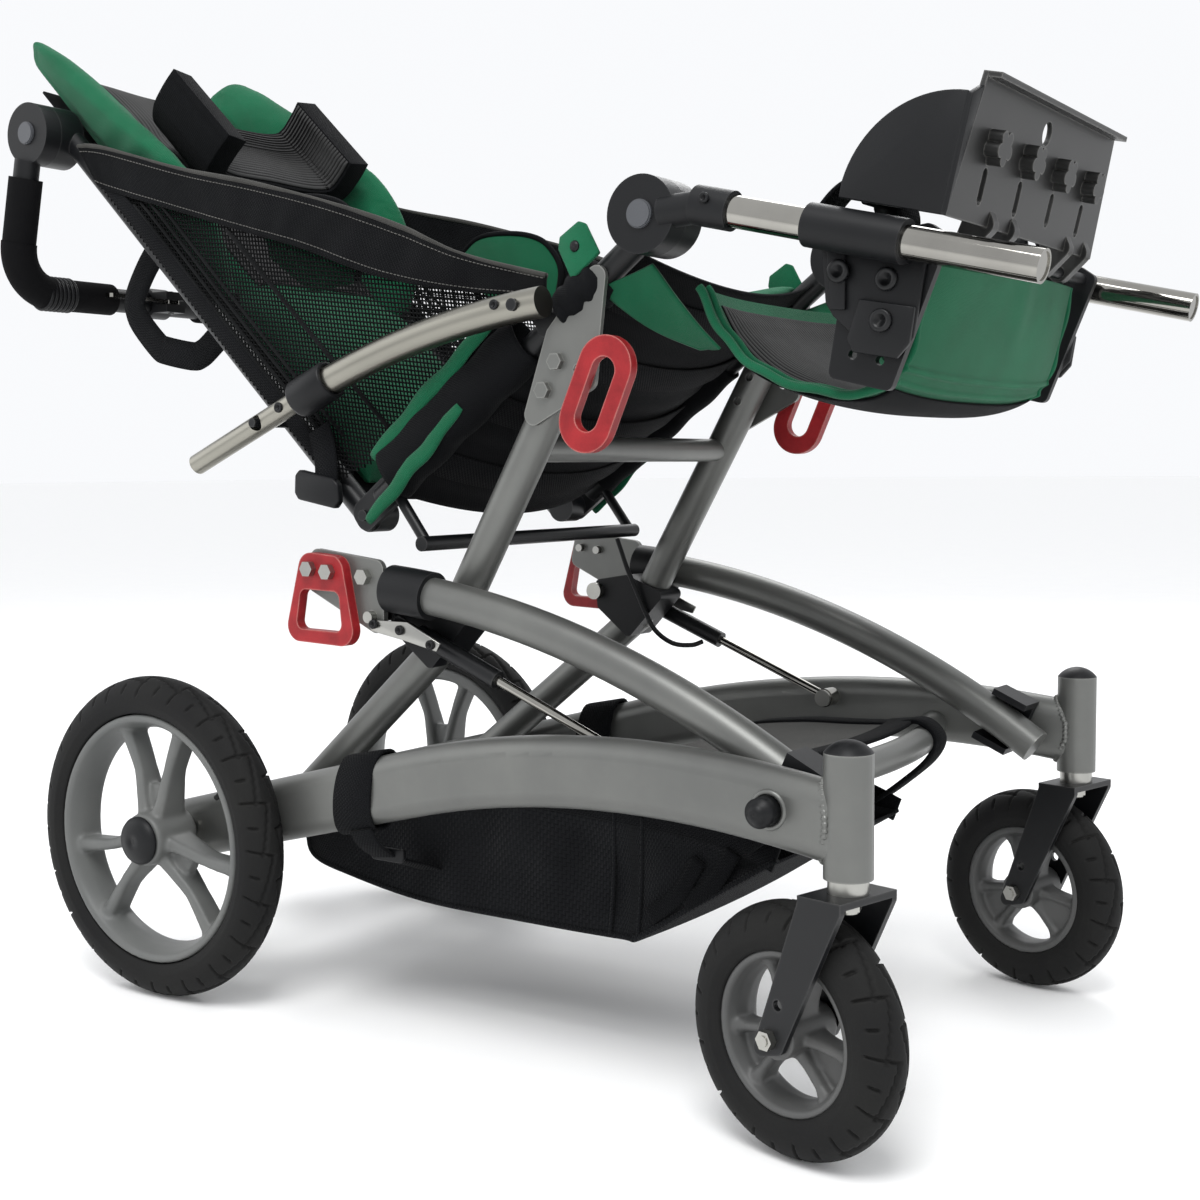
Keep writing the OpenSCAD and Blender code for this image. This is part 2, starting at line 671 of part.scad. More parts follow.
// Plates that bolt the seat rails onto the posts
module top_brackets() color(frame_grey) both_sides() {
    y0 = plate_inner_y;
    difference() {
        xz_plate(y0, y0 + bracket_t) rounded([
            [on_post(60).x, on_post(60).y], [on_post(0).x + 22, on_post(0).y - 26],
            [knuckle.x - 52, knuckle.y - 42], [on_post(0).x - 8, on_post(0).y + 10]
        ], 9);
        for (d = [12, 38]) ybar(on_post(d).x, on_post(d).y, 0, 400, 8 + 2 * seat_fit);
        ybar(on_post(20).x + 24, on_post(20).y, 0, 400, 8 + 2 * seat_fit);
    }
    for (d = [12, 38]) ybolt(on_post(d).x, on_post(d).y, post_y - 10, y0 + bracket_t + seat_fit, 8, 5);
}

// Oblong tie-down rings beside the posts
ring_len = 96;
ring_w = 50;
ring_t = 9;
ring_lean = 66;
module front_rings() color(red) both_sides() {
    y0 = plate_inner_y + bracket_t + seat_fit;
    translate([on_post(0).x + 36, 0, on_post(0).y - 38]) rotate([0, -ring_lean, 0])
        xz_plate(y0, y0 + ring_t) difference() {
            oval(ring_len, ring_w);
            oval(ring_len - 34, ring_w - 28);
        }
}

// Seat

hinge_plate_y = cane_y + rail_r + 0.5 + pass_gap;
// Seat rails with their hinge plates, front knuckle halves and the bar between their rear ends
module seat_rails() color(black) on_seat() {
    both_sides() {
        bar([24, rail_y, 0], [seat_len - leg_knuckle_d / 2 + 4, rail_y, 0], rail_d);
        difference() {
            xz_plate(hinge_plate_y, hinge_plate_y + 6) rounded([[0, -3], [34, -3], [34, 3], [0, 3]], 11);
            ybar(0, 0, 0, 400, pin_d + 2 * run_fit);
        }
        ybar(seat_len, 0, rail_y - rail_r, knuckle_y - pass_gap, leg_knuckle_d);
        ybar(seat_len, 0, rail_y, knuckle_y + leg_knuckle_w - 13, pin_d);
        xz_plate(rail_y + 3, rail_y + rail_r) rounded([[arm_front - 4, 0], [arm_front + 4, 0],
            [arm_front, arm_lift]], 7);
        ybar(arm_front, arm_lift, rail_y + 4, arm_y + arm_d / 2 + 3, pin_d);
        bar([rear_bar.x, rail_y, -4], [rear_bar.x, rail_y, rear_bar.y], 10);
    }
    ybar(rear_bar.x, rear_bar.y, -rail_y - 8, rail_y + 8, 13);
}
knuckle_y = rail_y + rail_r + 1;
rear_bar = [40, -60];

// Height of a sling's middle layer at a distance from the middle plane, and of what lies on it
sling_t = 6;
function sagged(y, half, sag) = -sag * (1 - pow(y / half, 2));
function on_sling(y, half, sag) = sagged(y, half, sag) + sling_t / 2 + soft_gap;
soft_gap = 0.6;

// Sling under the seat pad, drawn down between the rails, with cross straps as ridges
seat_half = rail_y - rail_r - soft_gap;
seat_sag = 26;
module seat_sling() color(black) on_seat() {
    x0 = 34;
    l = seat_len - 70;
    ridge = function(u, v) 2.5 * pow(cos(u * 900), 2) * (1 - pow(2 * v - 1, 2));
    point = function(u, v, off) let(y = (2 * v - 1) * seat_half)
        [x0 + u * l, y, sagged(y, seat_half, seat_sag) - ridge(u, v) + off];
    soft_form(14, 10, function(u, v) point(u, v, sling_t / 2), function(u, v) point(u, v, -sling_t / 2));
}

// Crowned pad form, drawn in between its corners, with sewn channels across it
function crown(u, v) = pow(max(0, (1 - pow(2 * u - 1, 6)) * (1 - pow(2 * v - 1, 6))), 0.5);
function drawn(t) = 1 - 0.05 * (1 - pow(2 * t - 1, 2));
function channel(u, n) = pow(abs(cos(u * 180 * n)), 14);
pad_edge = 6;
channel_depth = 4;
// Height of a pad's upper face over its bed
function pad_rise(u, v, t, n) = pad_edge + (t - pad_edge - channel_depth * channel(u, n)) * crown(u, v);

module seat_cushion() color(green) on_seat() {
    x0 = 34;
    l = seat_len - 72;
    across = function(u, v) (2 * v - 1) * pad_half * drawn(u);
    point = function(u, v, rise) [
        x0 + l / 2 + (u - 0.5) * l * drawn(v), across(u, v),
        on_sling(across(u, v), seat_half, seat_sag) + rise
    ];
    soft_form(22, 16,
        function(u, v) point(u, v, pad_rise(u, v, seat_pad_t, 4)), function(u, v) point(u, v, 0));
}

// Upper arches

module upper_arch(s) color(frame_grey) side(s) {
    a0 = acos((upper_front_x - upper_apex_x) / upper_r);
    a1 = acos((upper_rear_x - upper_apex_x) / upper_r);
    xz_arc(upper_c, upper_y, upper_r, a0, a1, upper_d);
}
module right_upper_arch() { upper_arch(-1); }
module left_upper_arch() { upper_arch(1); }

// Moulded sleeves round the upper arches' rear ends
clamp_front_x = 322;
clamp_t = 4.5;
module arch_clamps() color(black) both_sides() difference() {
    a0 = acos((clamp_front_x - upper_apex_x) / upper_r);
    a1 = acos((upper_rear_x - 4 - upper_apex_x) / upper_r);
    xz_arc(upper_c, upper_y, upper_r, a0, a1, upper_d + 2 * clamp_t);
    xz_arc(upper_c, upper_y, upper_r, a0 - 1, a1 - 0.25, upper_d + 2 * seat_fit);
}

// Plates behind the sleeves that hang on the hip pins and carry the rear rings
plate_y = upper_y + 4;
module rear_brackets() color(frame_grey) both_sides() difference() {
    xz_plate(plate_y, plate_y + 5) {
        rounded([[hip_x - 66, hip_z + 28], [hip_x + 3.6, hip_z - 5], [hip_x + 3.6, hip_z + 40],
            [hip_x - 62, hip_z + 48]], 9);
    }
    ybar(hip_x, hip_z, 0, 400, pin_d + 2 * run_fit);
    for (p = ring_bolt_at) ybar(p.x, p.y, 0, 400, 8 + 2 * seat_fit);
}
ring_bolt_at = [[hip_x - 62, hip_z + 40], [hip_x - 40, hip_z + 38]];

// Flared tie-down rings bolted outside the rear brackets
module rear_rings() color(red) both_sides() {
    y0 = plate_y + 5 + seat_fit;
    difference() {
        xz_plate(y0, y0 + 10) rounded([[hip_x - 76, hip_z - 10], [hip_x - 28, hip_z - 12],
            [hip_x - 38, hip_z + 38], [hip_x - 62, hip_z + 40]], 14);
        xz_plate(y0 - 1, y0 + 11) rounded([[hip_x - 72, hip_z - 6], [hip_x - 34, hip_z - 7],
            [hip_x - 36, hip_z + 14], [hip_x - 68, hip_z + 15]], 7);
        for (p = ring_bolt_at) ybar(p.x, p.y, 0, 400, 8 + 2 * seat_fit);
    }
}
module ring_bolts() color(steel) both_sides() {
    y0 = plate_y + 15 + 2 * seat_fit;
    for (p = ring_bolt_at) ybolt(p.x, p.y, plate_y - 6, y0, 8, 6);
    ybolt(hip_x - 8, hip_z + 34, plate_y + 5 + seat_fit, plate_y + 5 + seat_fit, 8, 6);
}

// Gas struts between the hip pins and the lower arches

cylinder_len = 128;
eye_slack = 3.6;
eye_wall = 5;
module along_strut() {
    translate([hip_x, strut_y, hip_z])
        rotate([0, acos(strut_vec.z / strut_len), atan2(strut_vec.y, strut_vec.x)]) children();
}
module strut_cylinders() color(black) both_sides() difference() {
    union() {
        along_strut() {
            translate([0, 0, 38]) cylinder(h = cylinder_len - 38, d = strut_d);
            translate([0, 0, 8]) cylinder(h = 32, d = 9);
        }
        ybar(hip_x, hip_z, strut_y - 6, strut_y + 5, pin_d + 2 * eye_slack + eye_wall);
    }
    ybar(hip_x, hip_z, 0, 400, pin_d + 2 * eye_slack);
    along_strut() translate([0, 0, 46]) cylinder(h = cylinder_len, d = rod_d + 2 * run_fit);
}
module strut_rods() color(steel) both_sides() difference() {
    union() {
        along_strut() translate([0, 0, 118]) cylinder(h = strut_len - 118 - 4, d = rod_d);
        ybar(strut_x, strut_z, strut_y - 8, strut_y + 8, pin_d + 8);
    }
    ybar(strut_x, strut_z, 0, 400, pin_d + 2 * run_fit);
}

// Release cable from the bar under the seat to the left strut
cable_d = 5;
cable_route = [
    [294.5, 128, 425], [299, 129, 412], [305, 130, 395], [313, 133.4, 374], [323, 134.7, 352],
    [334, 137, 333], [346, 150, 320], [357, 168, 317], [364, 178, 320]
];
module release_cable() color(black) {
    sides = 8;
    n = len(cable_route);
    ring = function(i) let(
        a = cable_route[max(i - 1, 0)],
        b = cable_route[min(i + 1, n - 1)],
        t = (b - a) / norm(b - a),
        e = cross(t, [0, 1, 0]) / norm(cross(t, [0, 1, 0])),
        f = cross(t, e)
    ) [
        for (k = [0:sides - 1]) let(a = k * 360 / sides)
            cable_route[i] + cable_d / 2 * (cos(a) * e + sin(a) * f)
    ];
    polyhedron(
        points = [for (i = [0:n - 1]) each ring(i)],
        faces = concat(
            [[for (k = [sides - 1:-1:0]) k]],
            [for (i = [0:n - 2], k = [0:sides - 1]) each [
                [i * sides + k, i * sides + (k + 1) % sides, (i + 1) * sides + (k + 1) % sides],
                [i * sides + k, (i + 1) * sides + (k + 1) % sides, (i + 1) * sides + k]
            ]],
            [[for (k = [0:sides - 1]) (n - 1) * sides + k]]
        )
    );
}

// Back

module back_canes() color(black) on_back() both_sides() {
    bar([back_off, cane_y, 0], [back_off, cane_y, handle_up], rail_d);
    ybar(0, 0, cane_y - rail_r - 1, hinge_plate_y - pass_gap, hinge_lug_d);
    ybar(0, 0, cane_y, hinge_plate_y + 9, pin_d);
    ybar(back_off, recline_up, cane_y, arm_y + slide_d / 2 + 4, recline_pin_d);
    ybar(handle_off, handle_up, cane_y - 6, handle_half_y - pass_gap, handle_knuckle_d);
    ybar(handle_off, handle_up, cane_y, handle_half_y + handle_knuckle_w - 13, pin_d);
}
handle_off = -20;
hinge_lug_d = 30;
handle_half_y = 170;

back_half = cane_y - rail_r - soft_gap;
back_sag = 4;
back_start = 30;
module back_sling() color(black) on_back() {
    point = function(u, v, off) let(y = (2 * v - 1) * back_half)
        [back_off + sagged(y, back_half, back_sag) + off, y, back_start + u * (back_len - back_start)];
    soft_form(14, 8, function(u, v) point(u, v, -sling_t / 2), function(u, v) point(u, v, sling_t / 2));
}

// Pad over the back with its channels and the roll at its upper edge
module back_cushion() color(green) on_back() {
    z0 = 36;
    across = function(u, v) (2 * v - 1) * pad_half * drawn(u);
    roll = function(u) 16 * exp(-pow((u - 0.97) / 0.03, 2));
    point = function(u, v, rise) [
        back_off + on_sling(across(u, v), back_half, back_sag) + rise, across(u, v),
        z0 + (back_pad_len - z0) * u
    ];
    soft_form(30, 14,
        function(u, v) point(u, v, 0),
        function(u, v) point(u, v, pad_rise(u, v, back_pad_t, 5) + roll(u)));
}

// Head support: a bridge with two wings, and a dome over it
head_back = back_off + back_pad_t;
head_low = 415;
head_h = 105;
head_half = 104;
module headrest() color(black) on_back() {
    wing = function(v) 68 * pow(abs(2 * v - 1), 3);
    point = function(u, v, x, draw) [
        head_back + wing(v) + x,
        (2 * v - 1) * (head_half - draw * pow(abs(2 * v - 1), 2)),
        head_low + head_h * u
    ];
    soft_form(12, 22,
        function(u, v) point(u, v, 0, 0),
        function(u, v) point(u, v, 8 + 22 * crown(u, v), 22));
}

// Mesh side panels between the back, the seat and the arm bands
panel_t = 3;
panel_off = -2;
panel_y = cane_y + rail_r - 1 + panel_t / 2;
// The panel's foot along the seat and over it, and its span up the back
panel_rail = [12, seat_len - 90];
panel_over = 32;
panel_up = [40, 505];
// The panel's upper front corner, along the seat and over it
panel_corner = [282.7, 36.2];
panel_sag = 8;
panel_belly = 4;
module side_panels() color(black) both_sides() {
    up_back = [cos(back_lean + 90), sin(back_lean + 90)];
    point = function(u, v) let(
        low = on_xz(seat_dir, panel_rail[0] + (panel_rail[1] - panel_rail[0]) * u, panel_over),
        high_rear = on_xz(up_back, panel_up[1], -panel_off),
        high_front = on_xz(seat_dir, panel_corner[0], panel_corner[1]),
        low_rear = on_xz(up_back, panel_up[0], -panel_off),
        foot = low_rear + (low - low_rear) * min(1, 4 * u),
        high = high_rear + (high_front - high_rear) * u - [0, panel_sag * sin(180 * u)]
    ) foot + (high - foot) * v;
    belly = function(u, v) panel_y + panel_belly * sin(180 * u) * sin(180 * v);
    soft_form(12, 6,
        function(u, v) [point(u, v).x, belly(u, v) - panel_t / 2, point(u, v).y],
        function(u, v) [point(u, v).x, belly(u, v) + panel_t / 2, point(u, v).y]);
}
// Point at a distance along a direction from the hinge, raised by its normal
function on_xz(d, along, up) = [hinge_x, hinge_z] + along * d + up * [-d.y, d.x];

// Recline arms: curved front tubes on the seat rails, with tubes that slide in their sleeves

arm_pivot = on_xz(seat_dir, arm_front, arm_lift);
arm_slope = 6.7;
slide_slope = 23.3;
arm_c = arm_pivot + arm_r * [sin(arm_slope), -cos(arm_slope)];
arm_rear = arm_c + arm_r * [-sin(slide_slope), cos(slide_slope)];
slide_dir = [-cos(slide_slope), -sin(slide_slope)];
slide_inside = 62;
slide_out = 152;
sleeve_d = arm_d + 6;
// Where the slide's line crosses the back cane, measured up the cane
cane_dir = [-sin(back_lean), cos(back_lean)];
cane_root = [hinge_x, hinge_z] + back_off * [cos(back_lean), sin(back_lean)];
recline_up = (
    (arm_rear.x - cane_root.x) * slide_dir.y - (arm_rear.y - cane_root.y) * slide_dir.x
) / (cane_dir.x * slide_dir.y - cane_dir.y * slide_dir.x);
recline_pin_d = 8;
recline_slack = 3;
function at_y(p, y) = [p.x, y, p.y];

arm_nose = 1.4;
module recline_arms() color(steel) both_sides() difference() {
    union() {
        xz_arc(arm_c, arm_y, arm_r, 90 + arm_slope - arm_nose, 90 + slide_slope, arm_d);
        bar(at_y(arm_rear - 30 * slide_dir, arm_y), at_y(arm_rear + 8 * slide_dir, arm_y), sleeve_d);
    }
    bar(at_y(arm_rear - (slide_inside + 2) * slide_dir, arm_y), at_y(arm_rear + 9 * slide_dir, arm_y),
        slide_d + 2 * run_fit);
    ybar(arm_pivot.x, arm_pivot.y, 0, 400, pin_d + 2 * run_fit);
}
module recline_slides() color(frame_grey) both_sides() difference() {
    bar(at_y(arm_rear - slide_inside * slide_dir, arm_y), at_y(arm_rear + slide_out * slide_dir, arm_y),
        slide_d);
    p = cane_root + recline_up * cane_dir;
    ybar(p.x, p.y, 0, 400, recline_pin_d + 2 * recline_slack);
}

// Push handle

handle_at = [hinge_x, hinge_z] + handle_up * cane_dir + handle_off * [cos(back_lean), sin(back_lean)];
handle_knuckle_w = 18;
handle_arm_y = handle_half_y + handle_d / 2 + 1;
handle_back = 34;
handle_bend = 48;
handle_low = handle_at - [handle_back, handle_drop];
handle_hang = (handle_low - handle_at) / norm(handle_low - handle_at);
button_d = 22;
button_h = 10;
button_travel = 3;
// Corner of the handle on the left, and where its elbow starts and ends
handle_corner = at_y(handle_low, handle_arm_y);
elbow_up = handle_corner - handle_bend * at_y(handle_hang, 0);
elbow_in = handle_corner - [0, handle_bend, 0];
lever_bracket_w = 26;
module handle_bar() color(black) {
    both_sides() {
        bar(at_y(handle_at + (handle_knuckle_d / 2 - 4) * handle_hang, handle_arm_y), elbow_up, handle_d);
        translate(at_y(handle_at, 0)) difference() {
            ybar(0, 0, handle_half_y, handle_half_y + handle_knuckle_w, handle_knuckle_d);
            ybar(0, 0, 0, handle_half_y + handle_knuckle_w - 12, pin_d + 2 * run_fit);
            ybar(0, 0, handle_half_y + handle_knuckle_w - 12, 400, button_d + 4 * run_fit);
        }
    }
    ybar(handle_low.x, handle_low.y, -elbow_in.y, elbow_in.y, handle_d);
    translate(at_y(handle_low, 0)) difference() {
        union() {
            ybar(0, 0, -lever_bracket_w / 2, lever_bracket_w / 2, handle_d + 8);
            translate([0, -lever_bracket_w / 2, -11]) cube([lever_out + 8, lever_bracket_w, 22]);
        }
        translate([handle_d / 2 + 4.5, -lever_bracket_w, -lever_t / 2 - pass_gap])
            cube([60, 2 * lever_bracket_w, lever_t + 2 * pass_gap]);
        translate([lever_out, 0, -30]) cylinder(h = 60, d = 6 + 2 * seat_fit);
    }
    translate(at_y(handle_low, 0)) translate([lever_out, 0, -12]) cylinder(h = 24, d = 6);
}
grip_from = 44;
grip_inner_y = 62;
module handle_grips() color(black) both_sides() {
    difference() {
        union() {
            bar(at_y(handle_at + grip_from * handle_hang, handle_arm_y), elbow_up, grip_d);
            ybar(handle_low.x, handle_low.y, grip_inner_y, elbow_in.y, grip_d);
        }
        bar(at_y(handle_at, handle_arm_y), handle_corner, handle_d + 2 * seat_fit);
        ybar(handle_low.x, handle_low.y, 0, handle_corner.y, handle_d + 2 * seat_fit);
    }
    translate(elbow_in - handle_bend * at_y(handle_hang, 0)) rotate([0, 90 + handle_tilt, 0])
        rotate_extrude(angle = 90) translate([handle_bend, 0]) circle(d = grip_d + 2);
}
handle_tilt = atan2(-handle_hang.x, -handle_hang.y);
// Sprung release button in a knuckle's outer face
module button(y) color(rim_grey) {
    ybar(0, 0, y - button_h + button_travel, y + button_travel - 1, button_d);
    ybar(0, 0, y + button_travel - 1, y + button_travel, button_d - 2);
}
module handle_button(s) { side(s) translate(at_y(handle_at, 0)) button(handle_half_y + handle_knuckle_w); }
module right_handle_button() { handle_button(-1); }
module left_handle_button() { handle_button(1); }
// Squeeze lever that swings towards the handle bar
lever_out = 26;
lever_t = 4;
lever_len = 92;
lever_flare = 14;
module release_lever() color(steel) translate([handle_low.x + lever_out, 0, handle_low.y - lever_t / 2])
    difference() {
        linear_extrude(lever_t) {
            rounded([[0, 0], [0, -10], [lever_flare - 3, -lever_len], [lever_flare, -lever_len]], 5);
            rounded([[-2, 3], [-2, -6], [5, -6], [5, 3]], 3.5);
        }
        translate([0, 0, -1]) cylinder(h = lever_t + 2, d = 6 + 2 * run_fit);
    }

// Leg rest

leg_knuckle_w = 20;
socket_from = 44;
socket_to = 76;
module leg_arms() color(black) on_leg() both_sides() difference() {
    union() {
        ybar(0, 0, knuckle_y, knuckle_y + leg_knuckle_w, leg_knuckle_d);
        bar([16, tube_y, 4], [socket_from + 6, tube_y, tube_rise], tube_d + 1);
        bar([socket_from, tube_y, tube_rise], [socket_to, tube_y, tube_rise], tube_d + 6);
    }
    ybar(0, 0, 0, knuckle_y + leg_knuckle_w - 12, pin_d + 2 * run_fit);
    ybar(0, 0, knuckle_y + leg_knuckle_w - 12, 400, button_d + 4 * run_fit);
    bar([socket_from + 2, tube_y, tube_rise], [tube_end, tube_y, tube_rise], tube_d + 2 * seat_fit);
}
module leg_button(s) { side(s) on_leg() button(knuckle_y + leg_knuckle_w); }
module right_leg_button() { leg_button(-1); }
module left_leg_button() { leg_button(1); }
plug_len = 12;
module leg_tubes() color(steel) on_leg() both_sides() {
    difference() {
        bar([socket_from + 3, tube_y, tube_rise], [tube_end, tube_y, tube_rise], tube_d);
        bar([socket_from, tube_y, tube_rise], [tube_end + 1, tube_y, tube_rise], tube_d - 2 * tube_wall);
    }
    bar([tube_end - plug_len, tube_y, tube_rise], [tube_end - 1, tube_y, tube_rise],
        tube_d - 2 * tube_wall - 2 * seat_fit);
}

// Point on a smooth curve through points, for u from 0 to 1
function curve(pts, u) = let(
    n = len(pts) - 1,
    i = min(floor(u * n), n - 1),
    t = u * n - i,
    a = pts[max(i - 1, 0)], b = pts[i], c = pts[i + 1], d = pts[min(i + 2, n)]
) b + 0.5 * t * ((c - a) + t * ((2 * a - 5 * b + 4 * c - d) + t * (3 * (b - c) + d - a)));

// Calf sling hung between the seat's front edge and the footplate, with two darts in its front
calf_half = 150;
calf_t = 8;
sling_path = [
    [30, -52], [60, -84], [100, -106], [150, -112], [200, -104], [228, -76], [233, -36], [232, 11.6]
];
module calf_sling() color(green) on_leg() {
    hollow = function(v) 12 * pow(abs(2 * v - 1), 3);
    dart = function(u, v) -7 * exp(-pow((abs(2 * v - 1) - 0.36) / 0.05, 2)) * max(0, min(1, (u - 0.6) / 0.1));
    nose = function(u, v, off) let(
        p = curve(sling_path, u),
        q = curve(sling_path, min(u + 0.01, 1)) - curve(sling_path, max(u - 0.01, 0)),
        n = [-q.y, q.x] / norm(q)
    ) [p.x, 0, p.y] + (off + hollow(v) - dart(u, v)) * [n.x, 0, n.y] + [0, (2 * v - 1) * calf_half, 0];
    soft_form(22, 18,
        function(u, v) nose(u, v, calf_t / 2),
        function(u, v) nose(u, v, -calf_t / 2));
}

// Footplate on its sliding carriage

plate_hinge = [226, 20];
plate_x = 237;
plate_low = 36;
plate_mid_y = -30;
lug_y = [105, 62];
hinge_rod_d = 10;
sleeve_end = sleeve_start + sleeve_len;
cheek_y = 160;
cheek_t = 7;
module foot_carriage() color(black) on_leg() {
    both_sides() difference() {
        union() {
            bar([sleeve_start, tube_y, tube_rise], [sleeve_end, tube_y, tube_rise], tube_d + 8);
            xz_plate(cheek_y, cheek_y + cheek_t) rounded([[176, -84], [216, -84], [232, 20], [222, 24],
                [170, 6]], 6);
            translate([sleeve_start + 30, cheek_y + 1, 0]) cube([sleeve_len - 30, tube_y - cheek_y, 16]);
        }
        bar([60, tube_y, tube_rise], [tube_end, tube_y, tube_rise], tube_d + 2 * run_fit);
        for (p = [[186, -70], [208, -70]]) ybar(p.x, p.y, 0, 400, 7);
    }
    ybar(plate_hinge.x, plate_hinge.y, -cheek_y - 2, cheek_y + 2, hinge_rod_d);
}
// Star knob outline
module star() {
    circle(8);
    for (k = [0:4]) rotate(72 * k) translate([8, 0]) circle(5);
}
knob_step = 70;
module footplate() color(black) on_leg() {
    half = plate_w / 2;
    difference() {
        union() {
            translate([plate_x, plate_mid_y, plate_low]) rotate([90, 0, 90]) linear_extrude(plate_t) polygon([
                [-half, 0], [half, 0], [half - 12, plate_h], [18 - half, plate_h]
            ]);
            translate([plate_x, plate_mid_y - half + 18, plate_low + plate_h - plate_t])
                cube([14, plate_w - 30, plate_t]);
            xz_plate(plate_mid_y - half, plate_mid_y - half + plate_t) intersection() {
                polygon([[plate_x + 1, plate_low], [plate_x - 80, plate_low], [plate_x - 80, plate_low + 95],
                    [plate_x + 1, plate_low + 95]]);
                translate([plate_x, plate_low + 4]) circle(78);
            }
            for (y = lug_y) for (k = [-1, 1]) xz_plate(k * y - 5, k * y + 5)
                rounded([plate_hinge, [plate_x + 1, plate_low + 2], [plate_x - 6, plate_low + 12]], 8);
        }
        ybar(plate_hinge.x, plate_hinge.y, -400, 400, hinge_rod_d + 2 * run_fit);
        translate([plate_x - 1, -36, plate_low + 78]) rotate([0, 90, 0]) cylinder(h = plate_t + 2, d = 18);
        for (k = [0:3]) translate([plate_x - 1, plate_mid_y + knob_step * (k - 1.5), plate_low + 26])
            rotate([0, 90, 0]) linear_extrude(plate_t + 2) oval(26, 9);
    }
    for (k = [0:3]) translate([plate_x + plate_t, plate_mid_y + knob_step * (k - 1.5), plate_low + 54])
        rotate([0, 90, 0]) linear_extrude(11) star();
}

right_side_frame();
left_side_frame();
cross_tubes();
rear_axle();
axle_spacers();
barrel_caps();
arch_guides();
chassis_bolts();
basket();
brake_bar();
right_rear_tyre();
right_rear_rim();
right_hub_cap();
left_rear_tyre();
left_rear_rim();
left_hub_cap();
right_caster_fork();
right_caster_stem();
right_caster_tyre();
right_caster_rim();
left_caster_fork();
left_caster_stem();
left_caster_tyre();
left_caster_rim();
seat_stand();
stand_blocks();
pivot_pins();
top_brackets();
front_rings();
seat_rails();
seat_sling();
seat_cushion();
right_upper_arch();
left_upper_arch();
arch_clamps();
rear_brackets();
rear_rings();
ring_bolts();
strut_cylinders();
strut_rods();
release_cable();
back_canes();
back_sling();
back_cushion();
headrest();
side_panels();
recline_arms();
recline_slides();
handle_bar();
handle_grips();
right_handle_button();
left_handle_button();
release_lever();
leg_arms();
leg_tubes();
calf_sling();
right_leg_button();
left_leg_button();
foot_carriage();
footplate();
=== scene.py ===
from math import copysign, cos, exp, pi, radians, sin, sqrt

import bmesh
import bpy
import numpy as np
from mathutils import Matrix, Vector
from mathutils.bvhtree import BVHTree


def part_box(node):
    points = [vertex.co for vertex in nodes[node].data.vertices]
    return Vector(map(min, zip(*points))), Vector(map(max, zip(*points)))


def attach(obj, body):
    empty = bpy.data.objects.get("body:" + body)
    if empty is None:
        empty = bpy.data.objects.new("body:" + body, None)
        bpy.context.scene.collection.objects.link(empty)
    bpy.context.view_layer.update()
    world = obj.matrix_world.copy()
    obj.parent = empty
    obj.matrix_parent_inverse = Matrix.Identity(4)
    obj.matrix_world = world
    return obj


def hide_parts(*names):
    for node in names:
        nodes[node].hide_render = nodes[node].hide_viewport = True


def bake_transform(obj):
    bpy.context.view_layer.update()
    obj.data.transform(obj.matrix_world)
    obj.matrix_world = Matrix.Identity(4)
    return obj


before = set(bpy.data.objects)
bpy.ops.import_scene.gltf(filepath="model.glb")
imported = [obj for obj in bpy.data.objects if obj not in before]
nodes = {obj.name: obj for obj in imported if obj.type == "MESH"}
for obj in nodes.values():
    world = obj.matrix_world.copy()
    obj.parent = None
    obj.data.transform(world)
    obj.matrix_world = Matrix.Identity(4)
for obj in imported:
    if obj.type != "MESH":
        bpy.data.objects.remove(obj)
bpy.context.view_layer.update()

# Sizes and places in millimetres, as the frame has them
MM = 0.001
HINGE = (220, 456)
SEAT_ANGLE = 37
SEAT_LEN = 386
BACK_LEAN = 45.8
BACK_SLOPE = 90 + BACK_LEAN
LEG_SLOPE = 13.6
CASTER_SWIVEL = 13.6
RAIL_Y = 162
RAIL_R = 11
CANE_Y = 148
CANE_OFF = -8
SIDES = {"right": -1, "left": 1}


def from_hinge(angle, run, up=0):
    """Point along a slope from the hinge, raised by its normal, in the XZ plane."""
    a = radians(angle)
    c, s = cos(a), sin(a)
    return Vector((HINGE[0] + run * c - up * s, HINGE[1] + run * s + up * c))


def tilted(origin, angle):
    """Turns millimetres in a tilted frame into metres in the row frame."""
    place = Matrix.Translation((origin[0] * MM, 0, origin[1] * MM))
    return place @ Matrix.Rotation(radians(angle), 4, "Y") @ Matrix.Scale(MM, 4)


# Seat: x runs up the seat, z is its normal. Back: z runs up, x to the occupant. Leg: x runs along the tubes
WORLD = Matrix.Scale(MM, 4)
SEAT = tilted(HINGE, -SEAT_ANGLE)
BACK = tilted(HINGE, -BACK_LEAN)
LEG = tilted(from_hinge(SEAT_ANGLE, SEAT_LEN), LEG_SLOPE)

# Camera of the photograph, in metres and degrees
CAMERA_PLACE = (1.226, -1.2932, 0.497)
CAMERA_YAW = 33.84
CAMERA_PITCH = -4.5
CAMERA_ROLL = -0.48
CAMERA_LENS = 50.71


# Camera, floor and light

def linked(name, data):
    made = bpy.data.objects.new(name, data)
    bpy.context.scene.collection.objects.link(made)
    return made


def make_camera():
    yaw, pitch, roll = (radians(a) for a in (CAMERA_YAW, CAMERA_PITCH, CAMERA_ROLL))
    forward = Vector((-sin(yaw) * cos(pitch), cos(yaw) * cos(pitch), sin(pitch)))
    level = Vector((cos(yaw), sin(yaw), 0))
    rise = level.cross(forward)
    side = cos(roll) * level + sin(roll) * rise
    top = cos(roll) * rise - sin(roll) * level
    data = bpy.data.cameras.new("camera")
    data.lens = CAMERA_LENS
    data.sensor_width = 36
    camera = linked("camera", data)
    turn = Matrix((side, top, -forward)).transposed().to_4x4()
    camera.matrix_world = Matrix.Translation(CAMERA_PLACE) @ turn
    bpy.context.scene.camera = camera


